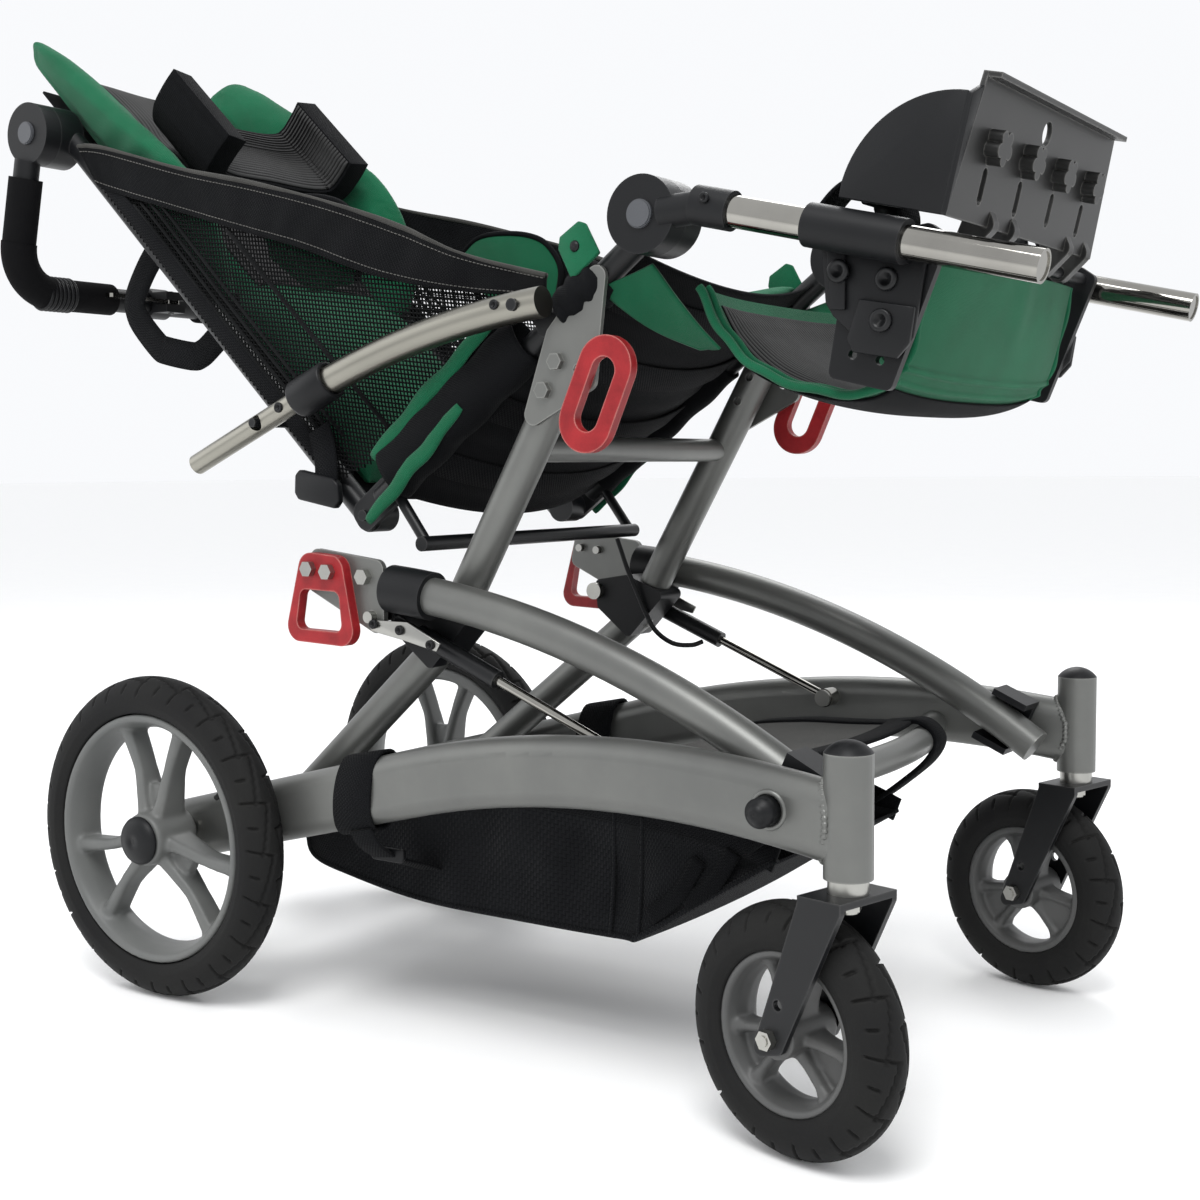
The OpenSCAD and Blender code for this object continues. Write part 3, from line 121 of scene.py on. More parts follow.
def area_light(name, place, target, size, power):
    data = bpy.data.lights.new(name, "AREA")
    data.size = size
    data.energy = power
    lamp = linked(name, data)
    lamp.location = place
    lamp.rotation_euler = (Vector(target) - Vector(place)).to_track_quat("-Z", "Y").to_euler()


def make_studio():
    size = 60
    corners = [(-size, -size, 0), (size, -size, 0), (size, size, 0), (-size, size, 0)]
    floor = linked("floor", new_mesh(corners, [(0, 1, 2, 3)]))
    floor.data.materials.append(FLOOR_PAINT)
    world = bpy.data.worlds.new("studio")
    world.use_nodes = True
    world.node_tree.nodes["Background"].inputs["Color"].default_value = (0.97, 0.98, 1, 1)
    world.node_tree.nodes["Background"].inputs["Strength"].default_value = 0.98
    bpy.context.scene.world = world
    bpy.context.scene.view_settings.view_transform = "Standard"
    middle = (0.3, 0, 0.45)
    area_light("key", (1.2, -1.8, 3.2), middle, 1.5, 78)
    area_light("fill", (-2.4, -1.6, 1.6), middle, 2.2, 14)
    area_light("rim", (-0.6, 2.4, 2.8), middle, 1.6, 34)


# Materials

def linear(rgb):
    """Colour as seen on a screen, 0 to 255, in the renderer's own scale."""
    part = [c / 255 for c in rgb]
    return tuple(c / 12.92 if c <= 0.04045 else ((c + 0.055) / 1.055) ** 2.4 for c in part)


class Paint:
    """Material under construction: its shader, and short ways to add nodes."""

    def __init__(self, name, **sockets):
        self.material = bpy.data.materials.new(name)
        self.material.use_nodes = True
        self.tree = self.material.node_tree
        self.shader = self.tree.nodes["Principled BSDF"]
        self.show(**sockets)

    def feed(self, socket, value):
        if isinstance(value, bpy.types.NodeSocket):
            self.tree.links.new(value, socket)
        else:
            socket.default_value = value

    def show(self, **sockets):
        """Sets sockets of the shader, with low lines for the spaces in their names."""
        for key, value in sockets.items():
            self.feed(self.shader.inputs[key.replace("_", " ")], value)

    def add(self, kind, **inputs):
        made = self.tree.nodes.new("ShaderNode" + kind)
        for key, value in inputs.items():
            self.feed(made.inputs[key.replace("_", " ")], value)
        return made

    def math(self, operation, *values, kind="Math"):
        made = self.add(kind)
        made.operation = operation
        for socket, value in zip(made.inputs, values):
            self.feed(socket, value)
        return made.outputs["Value"]

    def place(self, kind="Object"):
        return self.add("TexCoord").outputs[kind]

    def noise(self, scale, detail=3.0, place=None):
        made = self.add("TexNoise", Vector=place or self.place(), Scale=scale, Detail=detail, Roughness=0.6)
        return made.outputs["Fac"]

    def ramp(self, factor, *stops):
        """Two colours at places from 0 to 1."""
        made = self.add("ValToRGB", Fac=factor)
        for element, (at, rgb) in zip(made.color_ramp.elements, stops):
            element.position = at
            element.color = (*linear(rgb), 1)
        return made.outputs["Color"]

    def blend(self, factor, under, over):
        """A colour laid over another one."""
        made = self.add("Mix")
        made.data_type = "RGBA"
        self.feed(made.inputs["Factor"], factor)
        self.feed(made.inputs["A"], under)
        self.feed(made.inputs["B"], (*linear(over), 1))
        return made.outputs["Result"]

    def span(self, value, low, high):
        """Carries 0 to 1 over to another range."""
        return self.add("MapRange", Value=value, To_Min=low, To_Max=high).outputs["Result"]

    def bump(self, height, depth):
        self.show(Normal=self.add("Bump", Height=height, Distance=depth, Strength=1.0).outputs["Normal"])

    def edges(self, radius):
        """1 along sharp edges, 0 on open faces."""
        soft = self.add("Bevel", Radius=radius).outputs["Normal"]
        hard = self.add("NewGeometry").outputs["Normal"]
        return self.math("SUBTRACT", 1.0, self.math("DOT_PRODUCT", soft, hard, kind="VectorMath"))


def surface(name, dark, light, rough, metallic=0.0, scale=9, grain=700, bump=0.1, wear=None, stretch=None,
            **sockets):
    """Painted, moulded or metal finish: mottled colour, uneven roughness, a fine grain and worn edges."""
    paint = Paint(name, Metallic=metallic, **sockets)
    place = paint.place()
    if stretch:
        place = paint.add("Mapping", Vector=place, Scale=stretch).outputs["Vector"]
    mottle = paint.noise(scale, 5, place)
    colour = paint.ramp(mottle, (0.3, dark), (0.7, light))
    grains = paint.noise(grain, 2, place)
    if wear:
        worn = paint.math("MULTIPLY", paint.edges(0.0025), paint.span(paint.noise(90, 4), -1.0, 5.0))
        colour = paint.blend(paint.add("Clamp", Value=worn).outputs["Result"], colour, wear)
    uneven = paint.math("ADD", paint.math("MULTIPLY", mottle, 0.5), paint.math("MULTIPLY", grains, 0.5))
    paint.show(Base_Color=colour, Roughness=paint.span(uneven, *rough))
    paint.bump(grains, bump * MM)
    return paint.material


CLOTH_SPECULAR = 0.07
KNIT_RIB = 4.8


def humps(paint, value):
    """Round ridges, one to each unit of a value."""
    return paint.math("ABSOLUTE", paint.math("SINE", paint.math("MULTIPLY", value, pi)))


def woven(name, dark, light, pitch=0.9, depth=0.25, sheen=0.35):
    """Woven cloth: threads over and under along the piece's own UVs, faded patches, and painted shade in the
    gaps between threads with a painted highlight on their crowns.
    """
    paint = Paint(name, Sheen_Weight=sheen, Sheen_Roughness=0.5, Roughness=0.85,
                  Specular_IOR_Level=CLOTH_SPECULAR)
    uv = paint.add("SeparateXYZ", Vector=paint.place("UV"))
    u, v = (paint.math("DIVIDE", uv.outputs[axis], pitch * MM) for axis in "XY")
    cells = paint.math("ADD", paint.math("FLOOR", u), paint.math("FLOOR", v))
    parity = paint.math("ABSOLUTE", paint.math("MODULO", cells, 2.0))
    over = paint.math("MULTIPLY", humps(paint, u), parity)
    under = paint.math("MULTIPLY", humps(paint, v), paint.math("SUBTRACT", 1.0, parity))
    thread = paint.math("ADD", over, under)
    faded = paint.ramp(paint.noise(14, 5), (0.25, dark), (0.75, light))
    # Painted shade and highlight: the colour is scaled to 0.62 in the gaps between threads and to 1.1 on
    # their crowns.
    shaded = paint.add("VectorMath")
    shaded.operation = "SCALE"
    paint.feed(shaded.inputs[0], faded)
    paint.feed(shaded.inputs["Scale"], paint.span(thread, 0.62, 1.1))
    paint.show(Base_Color=shaded.outputs[0])
    paint.bump(thread, depth * MM)
    return paint.material


def knitted(name, dark, light):
    """Spacer knit: its ribs are in the mesh, and small stitches run along them. Its colour is painted light
    on the rib crowns and painted shade in the grooves between them.
    """
    paint = Paint(name, Sheen_Weight=0.03, Roughness=0.9, Specular_IOR_Level=CLOTH_SPECULAR)
    uv = paint.add("SeparateXYZ", Vector=paint.place("UV"))
    rib = humps(paint, paint.math("DIVIDE", uv.outputs["Y"], KNIT_RIB * MM))
    stitch = paint.math("SINE", paint.math("MULTIPLY", uv.outputs["X"], 2 * pi / (1.6 * MM)))
    # Painted light and shade: the colour follows the ribs, light on their crowns and dark in their grooves,
    # with random tone from the noise.
    lit = paint.math("ADD", paint.math("MULTIPLY", rib, 0.8), paint.math("MULTIPLY", paint.noise(30, 4), 0.3))
    paint.show(Base_Color=paint.ramp(lit, (0.3, dark), (1.0, light)))
    paint.bump(paint.math("ADD", rib, paint.math("MULTIPLY", stitch, 0.2)), 0.4 * MM)
    return paint.material


FLOOR_PAINT = surface("floor_paint", (251, 251, 251), (253, 253, 252), (0.85, 0.97), grain=40, bump=0.02,
                      Specular_IOR_Level=0.1)
GREY = surface("powder_coat", (99, 100, 98), (111, 112, 109), (0.32, 0.46), 0.6, grain=1400, bump=0.05,
               wear=(150, 150, 146))
RIM = surface("rim_plastic", (86, 88, 87), (98, 99, 97), (0.4, 0.58), grain=900, bump=0.06,
              wear=(122, 122, 119))
CASTER_RIM = surface("caster_plastic", (66, 67, 67), (78, 78, 77), (0.4, 0.6), grain=900, bump=0.06,
                     wear=(96, 96, 94))
RUBBER = surface("tyre_rubber", (19, 19, 20), (29, 29, 28), (0.55, 0.82), grain=500, bump=0.12,
                 wear=(46, 44, 41), Specular_IOR_Level=0.16)
PLASTIC = surface("black_plastic", (12, 13, 15), (18, 19, 21), (0.36, 0.54), grain=1100, bump=0.08,
                  wear=(38, 38, 39), Specular_IOR_Level=0.24)
BLACK_METAL = surface("black_coat", (11, 12, 14), (17, 18, 20), (0.3, 0.46), grain=1600, bump=0.04,
                      wear=(62, 62, 62), Specular_IOR_Level=0.3)
PLATE = surface("satin_plate", (33, 33, 33), (42, 42, 41), (0.34, 0.48), 0.3, grain=1500, bump=0.05,
                wear=(110, 109, 106))
STEEL = surface("zinc_steel", (150, 150, 147), (178, 177, 171), (0.22, 0.4), 1.0, grain=300, bump=0.02)
CHROME = surface("chrome", (142, 140, 135), (162, 160, 154), (0.05, 0.13), 1.0, grain=200, bump=0.005)
POLISHED = surface("polished_tube", (132, 130, 122), (152, 150, 141), (0.24, 0.38), 1.0, grain=420, bump=0.02,
                   stretch=(0.05, 1, 1))
RED = surface("red_coat", (122, 18, 24), (150, 30, 35), (0.34, 0.55), scale=55, grain=650, bump=0.14,
              wear=(190, 128, 120), Specular_IOR_Level=0.3)
FOAM = surface("grip_foam", (11, 11, 13), (18, 18, 19), (0.8, 0.95), grain=1500, bump=0.3,
               Specular_IOR_Level=0.08)
BUTTON = surface("button_plastic", (62, 64, 68), (74, 76, 80), (0.4, 0.55), grain=900, bump=0.05)
GREEN = woven("green_cloth", (14, 84, 55), (24, 104, 71), 1.0, sheen=0.12)
BLACK_CLOTH = woven("black_cloth", (10, 11, 13), (18, 19, 21), 1.2, sheen=0.02)
BASKET_CLOTH = woven("basket_weave", (17, 18, 20), (28, 29, 31), 2.2, depth=0.6, sheen=0.04)
WEBBING = woven("black_webbing", (11, 12, 14), (20, 21, 23), 1.8, depth=0.5, sheen=0.02)
NET = woven("black_net", (13, 14, 15), (26, 27, 28), 0.8, sheen=0.02)
LINING = woven("grey_lining", (52, 52, 50), (72, 71, 68), 1.4, sheen=0.1)
THREAD = woven("pale_thread", (96, 95, 92), (126, 124, 120), 0.5, sheen=0.1)
# Knit: the dark end is the painted shade of the rib grooves, the light end the painted light on the rib
# crowns.
KNIT = knitted("grey_knit", (8, 8, 9), (74, 74, 74))


# Lines

def circle(n):
    """Cosine and sine of n equal steps round a circle."""
    return [(cos(2 * pi * k / n), sin(2 * pi * k / n)) for k in range(n)]


def smooth_path(points, steps):
    """Points on a smooth curve through the given ones."""
    pts = [Vector(p) for p in points]
    out = []
    for i in range(len(pts) - 1):
        a, b, c, d = (pts[max(0, min(k, len(pts) - 1))] for k in (i - 1, i, i + 1, i + 2))
        for s in range(steps):
            t = s / steps
            bend = 2 * a - 5 * b + 4 * c - d + t * (3 * (b - c) + d - a)
            out.append(b + 0.5 * t * (c - a + t * bend))
    return out + [pts[-1]]


def xz_path(points, steps, y=0):
    """Smooth curve through points (x, z) of a plane along the object."""
    return smooth_path([(x, y, z) for x, z in points], steps)


def heading_at(line, t):
    """Point at a share of a line's steps, and the line's heading there."""
    n = len(line) - 1
    k = min(int(t * n), n - 1)
    heading = line[min(k + 2, n)] - line[max(k - 1, 0)]
    return line[k].lerp(line[k + 1], t * n - k), heading.normalized()


def line_at(line, t):
    return heading_at(line, t)[0]


def round_section(radius, sides=12):
    return [(radius * c, radius * s) for c, s in circle(sides)]


def flat_section(width, thick, lip=0.6):
    """Strap section: flat faces, thin rounded edges, width along the up direction."""
    w, t = width / 2, thick / 2
    return [(-t, -w + lip), (-t * 0.4, -w), (t * 0.4, -w), (t, -w + lip), (t, w - lip), (t * 0.4, w),
            (-t * 0.4, w), (-t, w - lip)]


# Meshes

def new_mesh(verts, faces, uvs=None):
    mesh = bpy.data.meshes.new("mesh")
    mesh.from_pydata(verts, [], faces)
    if uvs:
        mesh.uv_layers.new(name="UVMap").data.foreach_set("uv", [c for uv in uvs for c in uv])
    return mesh


def outward(mesh):
    """Turns the faces of a closed mesh outwards."""
    form = bmesh.new()
    form.from_mesh(mesh)
    bmesh.ops.recalc_face_normals(form, faces=form.faces)
    form.to_mesh(mesh)
    form.free()
    return mesh


def grid(point, nu, nv, span=(1.0, 1.0), matrix=WORLD, ring=False):
    """Sheet of quads through point(u, v) in a frame's millimetres, with UVs over span in millimetres."""
    cols = nv if ring else nv + 1
    verts = [matrix @ Vector(point(i / nu, j / nv)) for i in range(nu + 1) for j in range(cols)]
    faces = []
    uvs = []
    for i in range(nu):
        for j in range(nv):
            k = (j + 1) % cols
            faces.append((i * cols + j, i * cols + k, (i + 1) * cols + k, (i + 1) * cols + j))
            uvs += [(a / nu * span[0] * MM, b / nv * span[1] * MM)
                    for a, b in ((i, j), (i, j + 1), (i + 1, j + 1), (i + 1, j))]
    return new_mesh(verts, faces, uvs)


def sweep(path, section, up=(0, 1, 0), matrix=WORLD, closed=False):
    """Closed section, pairs (across, up) for each step, carried along a path in a frame's millimetres."""
    pts = [Vector(p) for p in path]
    n = len(pts)
    rows = []
    runs = [0.0]
    for i, p in enumerate(pts):
        ahead = pts[(i + 1) % n] if closed else pts[min(i + 1, n - 1)]
        behind = pts[i - 1] if closed else pts[max(i - 1, 0)]
        tangent = (ahead - behind).normalized()
        rise = (Vector(up) - tangent * tangent.dot(Vector(up))).normalized()
        across = tangent.cross(rise)
        shape = section(i / max(n - 1, 1)) if callable(section) else section
        rows.append([matrix @ (p + across * a + rise * b) for a, b in shape])
        runs.append(runs[-1] + (ahead - p).length)
    m = len(rows[0])
    girth = [0.0]
    for a, b in zip(rows[0], rows[0][1:] + rows[0][:1]):
        girth.append(girth[-1] + (b - a).length)
    faces = []
    uvs = []
    for i in range(n if closed else n - 1):
        j = (i + 1) % n
        for k in range(m):
            q = (k + 1) % m
            faces.append((i * m + k, i * m + q, j * m + q, j * m + k))
            uvs += [(runs[i] * MM, girth[k]), (runs[i] * MM, girth[k + 1]),
                    (runs[i + 1] * MM, girth[k + 1]), (runs[i + 1] * MM, girth[k])]
    if not closed:
        faces += [tuple(range(m - 1, -1, -1)), tuple(range((n - 1) * m, n * m))]
        uvs += [(0, 0)] * (2 * m)
    return new_mesh([v for row in rows for v in row], faces, uvs)


def strap(points, width, thick=2.0, steps=8, up=(0, 1, 0), matrix=WORLD):
    """Flat strap along points; its width runs along up."""
    return sweep(smooth_path(points, steps), flat_section(width, thick), up, matrix)


def lathe(profile, steps, matrix=WORLD):
    """Ring of a closed profile, pairs (radius, offset), about the Y axis."""
    m = len(profile)
    verts = [matrix @ Vector((r * c, y, r * s)) for c, s in circle(steps) for r, y in profile]
    faces = [(i * m + k, i * m + (k + 1) % m, (i + 1) % steps * m + (k + 1) % m, (i + 1) % steps * m + k)
             for i in range(steps) for k in range(m)]
    return outward(new_mesh(verts, faces))


def slab(outline, y, thick, matrix=WORLD):
    """Flat plate of an outline (x, z), from y on."""
    n = len(outline)
    verts = [matrix @ Vector((x, y + d, z)) for d in (0, thick) for x, z in outline]
    faces = [tuple(range(n)), tuple(range(2 * n - 1, n - 1, -1))]
    faces += [(i, n + i, n + (i + 1) % n, (i + 1) % n) for i in range(n)]
    return outward(new_mesh(verts, faces))


def closed_form(top, low, nu, nv, matrix):
    """Closed mesh of two grids, joined round their rims."""
    n = (nu + 1) * (nv + 1)
    spots = [(i / nu, j / nv) for i in range(nu + 1) for j in range(nv + 1)]
    verts = [matrix @ Vector(face(u, v)) for face in (top, low) for u, v in spots]

    def at(k, i, j):
        return k * n + i * (nv + 1) + j

    faces = []
    for i in range(nu):
        faces += [(at(k, i, j), at(k, i + 1, j), at(k, i + 1, j + 1), at(k, i, j + 1))
                  for j in range(nv) for k in (0, 1)]
        faces += [(at(0, i, j), at(1, i, j), at(1, i + 1, j), at(0, i + 1, j)) for j in (0, nv)]
    for j in range(nv):
        faces += [(at(0, i, j + 1), at(1, i, j + 1), at(1, i, j), at(0, i, j)) for i in (0, nu)]
    return outward(new_mesh(verts, faces))


def joined(meshes):
    """One mesh out of several."""
    verts = []
    faces = []
    uvs = []
    for mesh in meshes:
        base = len(verts)
        verts += [v.co.copy() for v in mesh.vertices]
        layer = mesh.uv_layers.active
        for poly in mesh.polygons:
            faces.append([base + v for v in poly.vertices])
            uvs += [tuple(layer.data[k].uv) if layer else (0, 0) for k in poly.loop_indices]
        bpy.data.meshes.remove(mesh)
    return new_mesh(verts, faces, uvs)


def fused(meshes, voxel, rounds=6):
    """Closed meshes grown into one skin, with fillets where they meet."""
    temp = linked("fused", joined(meshes))
    temp.modifiers.new("voxels", "REMESH").voxel_size = voxel * MM
    ease = temp.modifiers.new("ease", "SMOOTH")
    ease.factor = 0.5
    ease.iterations = rounds
    bpy.context.view_layer.update()
    mesh = bpy.data.meshes.new_from_object(temp.evaluated_get(bpy.context.evaluated_depsgraph_get()))
    bpy.data.objects.remove(temp)
    return mesh


def placed(mesh, matrix):
    """Copy of a mesh in another place; a mirrored one is turned right side out."""
    made = mesh.copy()
    made.transform(matrix)
    if matrix.determinant() < 0:
        made.flip_normals()
    return made


def flat_uv(obj, matrix, axes):
    """UVs in metres from two axes of a frame, for a weave that lies in its plane."""
    back = matrix.inverted()
    mesh = obj.data
    layer = mesh.uv_layers.active or mesh.uv_layers.new(name="UVMap")
    local = [back @ v.co for v in mesh.vertices]
    layer.data.foreach_set("uv", [local[loop.vertex_index][k] * MM for loop in mesh.loops for k in axes])


# Pieces

def bevelled(obj, width):
    edge = obj.modifiers.new("edges", "BEVEL")
    edge.width = width * MM
    edge.segments = 2
    return edge


def piece(name, mesh, material, body=None, slot=None, thick=0.0, bevel=0.0, replaces=None, blend=None):
    """Object of the part that rides on a body, with an optional thickness and bevel; a blend only bakes its
    placement into the mesh.
    """
    mesh.name = name
    mesh.materials.append(material)
    mesh.shade_smooth()
    made = linked(name, mesh)
    if thick:
        solid = made.modifiers.new("thickness", "SOLIDIFY")
        solid.thickness = thick * MM
        solid.offset = 0
    if bevel:
        bevelled(made, bevel)
    if body:
        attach(made, body)
    if replaces:
        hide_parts(replaces)
    if blend:
        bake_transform(made)
    return made


def pair(name, mesh, material, body=None, **options):
    """The left piece as built and its mirror image on the right, by side."""
    made = {}
    for side, sign in SIDES.items():
        image = placed(mesh, Matrix.Diagonal((1, sign, 1, 1)))
        made[side] = piece(f"{side}_{name}", image, material, body, **options)
    return made


# Finishes of the frame's own nodes that stay in sight

FINISHES = {
    GREY: ("right_side_frame left_side_frame cross_tubes seat_stand top_brackets right_upper_arch "
           "left_upper_arch rear_brackets"),
    STEEL: "rear_axle axle_spacers chassis_bolts right_caster_stem left_caster_stem pivot_pins ring_bolts",
    PLASTIC: "barrel_caps arch_guides stand_blocks arch_clamps leg_arms foot_carriage handle_bar",
    BLACK_METAL: "brake_bar right_caster_fork left_caster_fork seat_rails back_canes strut_cylinders",
    PLATE: "footplate",
    RED: "front_rings rear_rings",
    CHROME: "leg_tubes strut_rods release_lever",
    POLISHED: "recline_arms recline_slides",
    BUTTON: "right_handle_button left_handle_button right_leg_button left_leg_button",
    FOAM: "handle_grips",
}
SOFT_EDGES = {
    1.2: "footplate right_caster_fork left_caster_fork stand_blocks arch_clamps arch_guides barrel_caps",
    0.8: "rear_brackets top_brackets front_rings rear_rings foot_carriage brake_bar",
}


def finish_nodes():
    for material, names in FINISHES.items():
        for name in names.split():
            nodes[name].data.materials.clear()
            nodes[name].data.materials.append(material)
    for width, names in SOFT_EDGES.items():
        for name in names.split():
            edge = bevelled(nodes[name], width)
            edge.limit_method = "ANGLE"
            edge.angle_limit = radians(40)


# Wheels: treaded tyres and moulded rims in place of the plain ones

TYRE_HALF = 22
TREAD_DEEP = 2.6


def wheel_place(node, side, turn=0.0):
    """Puts a wheel made about the origin, outer face to +Y, where a CAD wheel is."""
    low, high = (Vector(c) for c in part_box(node))
    return (Matrix.Translation((low + high) / 2) @ Matrix.Rotation(radians(turn), 4, "Z")
            @ Matrix.Diagonal((1, SIDES[side], 1, 1)))


def slit(x, a, start, end):
    """Distance of points from a straight slit of the tread."""
    dx, da = end[0] - start[0], end[1] - start[1]
    t = np.clip(((x - start[0]) * dx + (a - start[1]) * da) / (dx * dx + da * da), 0, 1)
    return np.hypot(x - start[0] - t * dx, a - start[1] - t * da)


def tyre_mesh(outer, repeats, steps):
    """Round tyre with zigzag grooves over its crown, long slits to the shoulders and short ones between."""
    half = TYRE_HALF
    rows = 51
    psi = np.radians(np.linspace(-124, 124, rows))[None, :]
    theta = (np.arange(steps) * 2 * pi / steps)[:, None]
    pitch = 2 * pi * outer / repeats
    x = (theta * outer + np.where(psi < 0, pitch / 2, 0)) % pitch
    a = np.abs(psi) * half
    long_cut = ((0, half * 0.16), (pitch * 0.12, half * 1.3), 1.5)
    zigzag = ((0, half * 0.62), (pitch, half * 0.12), 1.4)
    short_cut = ((pitch * 0.55, half * 0.8), (pitch * 0.58, half * 1.12), 1.8)
    depth = np.zeros(x.shape)
    for start, end, width in (long_cut, zigzag, short_cut):
        for wrap in (-pitch, 0, pitch):
            share = np.clip((width - slit(x + wrap, a, start, end)) / 0.8, 0, 1)
            depth = np.maximum(depth, TREAD_DEEP * share)
    lip = 0.5 * np.exp(-((a - half * 1.72) / 0.9) ** 2)
    reach = half - depth + lip - 0.5
    r = outer - half + reach * np.cos(psi)
    verts = np.stack([r * np.cos(theta), reach * np.sin(psi), r * np.sin(theta)], -1).reshape(-1, 3) * MM
    i, j = np.meshgrid(np.arange(steps), np.arange(rows), indexing="ij")
    i2, j2 = (i + 1) % steps, (j + 1) % rows
    faces = np.stack([i * rows + j, i2 * rows + j, i2 * rows + j2, i * rows + j2], -1).reshape(-1, 4)
    return new_mesh(verts.tolist(), faces.tolist())


def spoke(axis, points, widths, depths, y=0.0):
    """Rounded bar through points (along, aside) of a spoke pair's axis."""
    c, s = cos(radians(axis)), sin(radians(axis))
    at = np.linspace(0, 1, len(widths))

    def section(t):
        return flat_section(float(np.interp(t, at, depths)), float(np.interp(t, at, widths)), 3)

    return sweep(xz_path([(p * c - q * s, p * s + q * c) for p, q in points], 6, y), section)


def rim_mesh(ring, hub, bars, web, voxel, rounds):
    """Moulded rim: a ring, a hub, three pairs of spokes and a web at the root of each pair."""
    parts = [lathe(*ring), lathe(*hub)]
    points, *sizes = bars
    for axis in (90, 210, 330):
        parts += [spoke(axis, [(p, s * q) for p, q in points], *sizes) for s in (-1, 1)]
        parts.append(spoke(axis, *web))
    return fused(parts, voxel, rounds)


def rear_rim_mesh():
    ring = [(117.4, 18.6), (113.5, 19.4), (110.5, 18), (107.5, 12), (104.5, 4), (102.6, -5), (103, -14),
            (106, -18.6), (117.4, -18.6)]
    hub = [(25, 20), (23, 24.2), (8, 24.2), (8, -24.4), (25, -24.4)]
    bars = ([(8, 4), (32, 12), (64, 20), (98, 35), (107, 40)], (20, 12, 11, 14, 26), (42, 32, 24, 26, 34), -2)
    web = ([(14, 0), (34, 0), (50, 0)], (30, 24, 18), (16, 14, 12), -2)
    return rim_mesh((ring, 160), (hub, 64), bars, web, 1.9, 8)


def caster_rim_mesh():
    ring = [(60.4, 16.6), (57, 17.4), (54.6, 15.5), (51.5, 8), (50, -2), (51.5, -12), (54.5, -17),
            (60.4, -17)]
    hub = [(17, 24.8), (6, 24.8), (6, -24.8), (17, -24.8)]
    bars = ([(8, 4), (24, 10), (40, 16), (53, 22)], (12, 8, 8, 16), (30, 22, 20, 26))
    web = ([(12, 0), (30, 0), (51, 0)], (20, 30, 42), (12, 10, 9), -3)
    return rim_mesh((ring, 128), (hub, 48), bars, web, 1.4, 6)


def make_wheels():
    kinds = (("rear", tyre_mesh(152.5, 20, 960), rear_rim_mesh(), RIM, 0),
             ("caster", tyre_mesh(94, 13, 720), caster_rim_mesh(), CASTER_RIM, -CASTER_SWIVEL))
    for kind, tread, rim, material, turn in kinds:
        for side in SIDES:
            name = f"{side}_{kind}"
            place = wheel_place(name + "_tyre", side, turn)
            piece(name + "_tread", placed(tread, place), RUBBER, name + "_wheel", replaces=name + "_tyre")
            piece(name + "_wheel_rim", placed(rim, place), material, name + "_wheel", replaces=name + "_rim")


def make_hubs():
    """Domed caps over the rear hubs, and the valves of the rear tyres."""
    cap = lathe([(0.1, 35.1), (9, 34.6), (16, 33), (20.5, 30.2), (22.6, 27), (22.9, 25.4), (0.1, 25.4)], 64)
    valve = lathe([(3.4, 6), (3.4, 14), (2.6, 15), (2.6, 19), (0.1, 19.4), (0.1, 6)], 20)
    valve.transform(Matrix.Rotation(radians(60), 4, "Y") @ Matrix.Translation((0, 0, 0.107))
                    @ Matrix.Rotation(radians(-90), 4, "X"))
    for side in SIDES:
        place = wheel_place(side + "_rear_tyre", side)
        body = side + "_rear_wheel"
        piece(side + "_hub_dome", placed(cap, place), PLASTIC, body, replaces=side + "_hub_cap")
        piece(side + "_valve", placed(valve, place), RUBBER, body)


# Small hardware on the frame

def screw(place, radius, height, matrix=WORLD):
    """Screw head with a hex socket, facing +Y."""
    profile = [(radius, 0), (radius, height * 0.75), (radius * 0.85, height), (radius * 0.56, height),
               (radius * 0.5, height * 0.4), (0.1, height * 0.36), (0.1, 0)]
    return lathe(profile, 24, matrix @ Matrix.Translation(place))


SCREWS = (
    ("arm_screw", (396, 203.4, 627.2), 4.2, 2.4, "recline_arms"),
    ("leg_arm_screw", (589.6, 201.8, 693.6), 4.0, 2.4, "leg_rest"),
    ("slide_screw", (153, 200.4, 551.8), 4.6, 2.4, "recline_slides"),
    ("plate_bolt_a", (268, 209.6, 365.4), 4.2, 3.4, "upper_arches"),
    ("plate_bolt_b", (297, 209.6, 361.4), 4.2, 3.4, "upper_arches"),
    ("plate_bolt_c", (330, 209.6, 350.5), 4.2, 3.4, "upper_arches"),
)


def make_screws():
    for name, place, radius, height, body in SCREWS:
        pair(name, screw(place, radius, height), PLASTIC, body, slot="black_metal")


def make_arch_nuts():
    axis = WORLD @ Matrix.Translation((670, 0, 255.5))
    nut = [(0.1, 276), (4, 275.2), (7, 273), (8.8, 269.4), (10.8, 268.6), (10.9, 255), (0.1, 255)]
    seat = [(15, 253.4), (14.2, 255.4), (12, 256), (11.2, 255), (11.2, 252.6), (15, 252.6)]
    pair("acorn_nut", lathe(nut, 40, axis), PLASTIC, "base")
    pair("nut_seat", lathe(seat, 48, axis), GREY, "base")


def make_barrel_welds():
    """Rippled bead where the oval arch tube meets the round barrel."""
    barrel_x, barrel_y, barrel_r = 727, 243.5, 17.5
    bead = []
    for c, s in circle(180):
        y = 241.8 + 15.8 * c
        reach = sqrt(barrel_r ** 2 - min(17.0, abs(y - barrel_y)) ** 2)
        bead.append((barrel_x - reach - 0.6, y, 250.4 + 28.8 * s))

    def ripple(t):
        return round_section(2.5 + 0.7 * sin(t * 2 * pi * 44), 8)

    pair("barrel_weld", sweep(bead, ripple, (1, 0, 0), closed=True), GREY, "base")


def make_strut_plates():
    outline = [(258, 372), (270, 368.4), (304, 368.4), (339, 352), (335, 345), (298, 353), (264, 359)]
    pair("strut_plate", slab(outline, 207, 2.5), STEEL, "upper_arches", bevel=0.6)


def make_grip_ribs():
    rib = [(16.2 + r, y) for r, y in round_section(2.0, 8)]
    rings = [lathe(rib, 40, WORLD @ Matrix.Translation((-229.4, 118 + 5.2 * k, 680.1))) for k in range(7)]
    pair("grip_ribs", joined(rings), PLASTIC, "handle", slot="grip_foam")


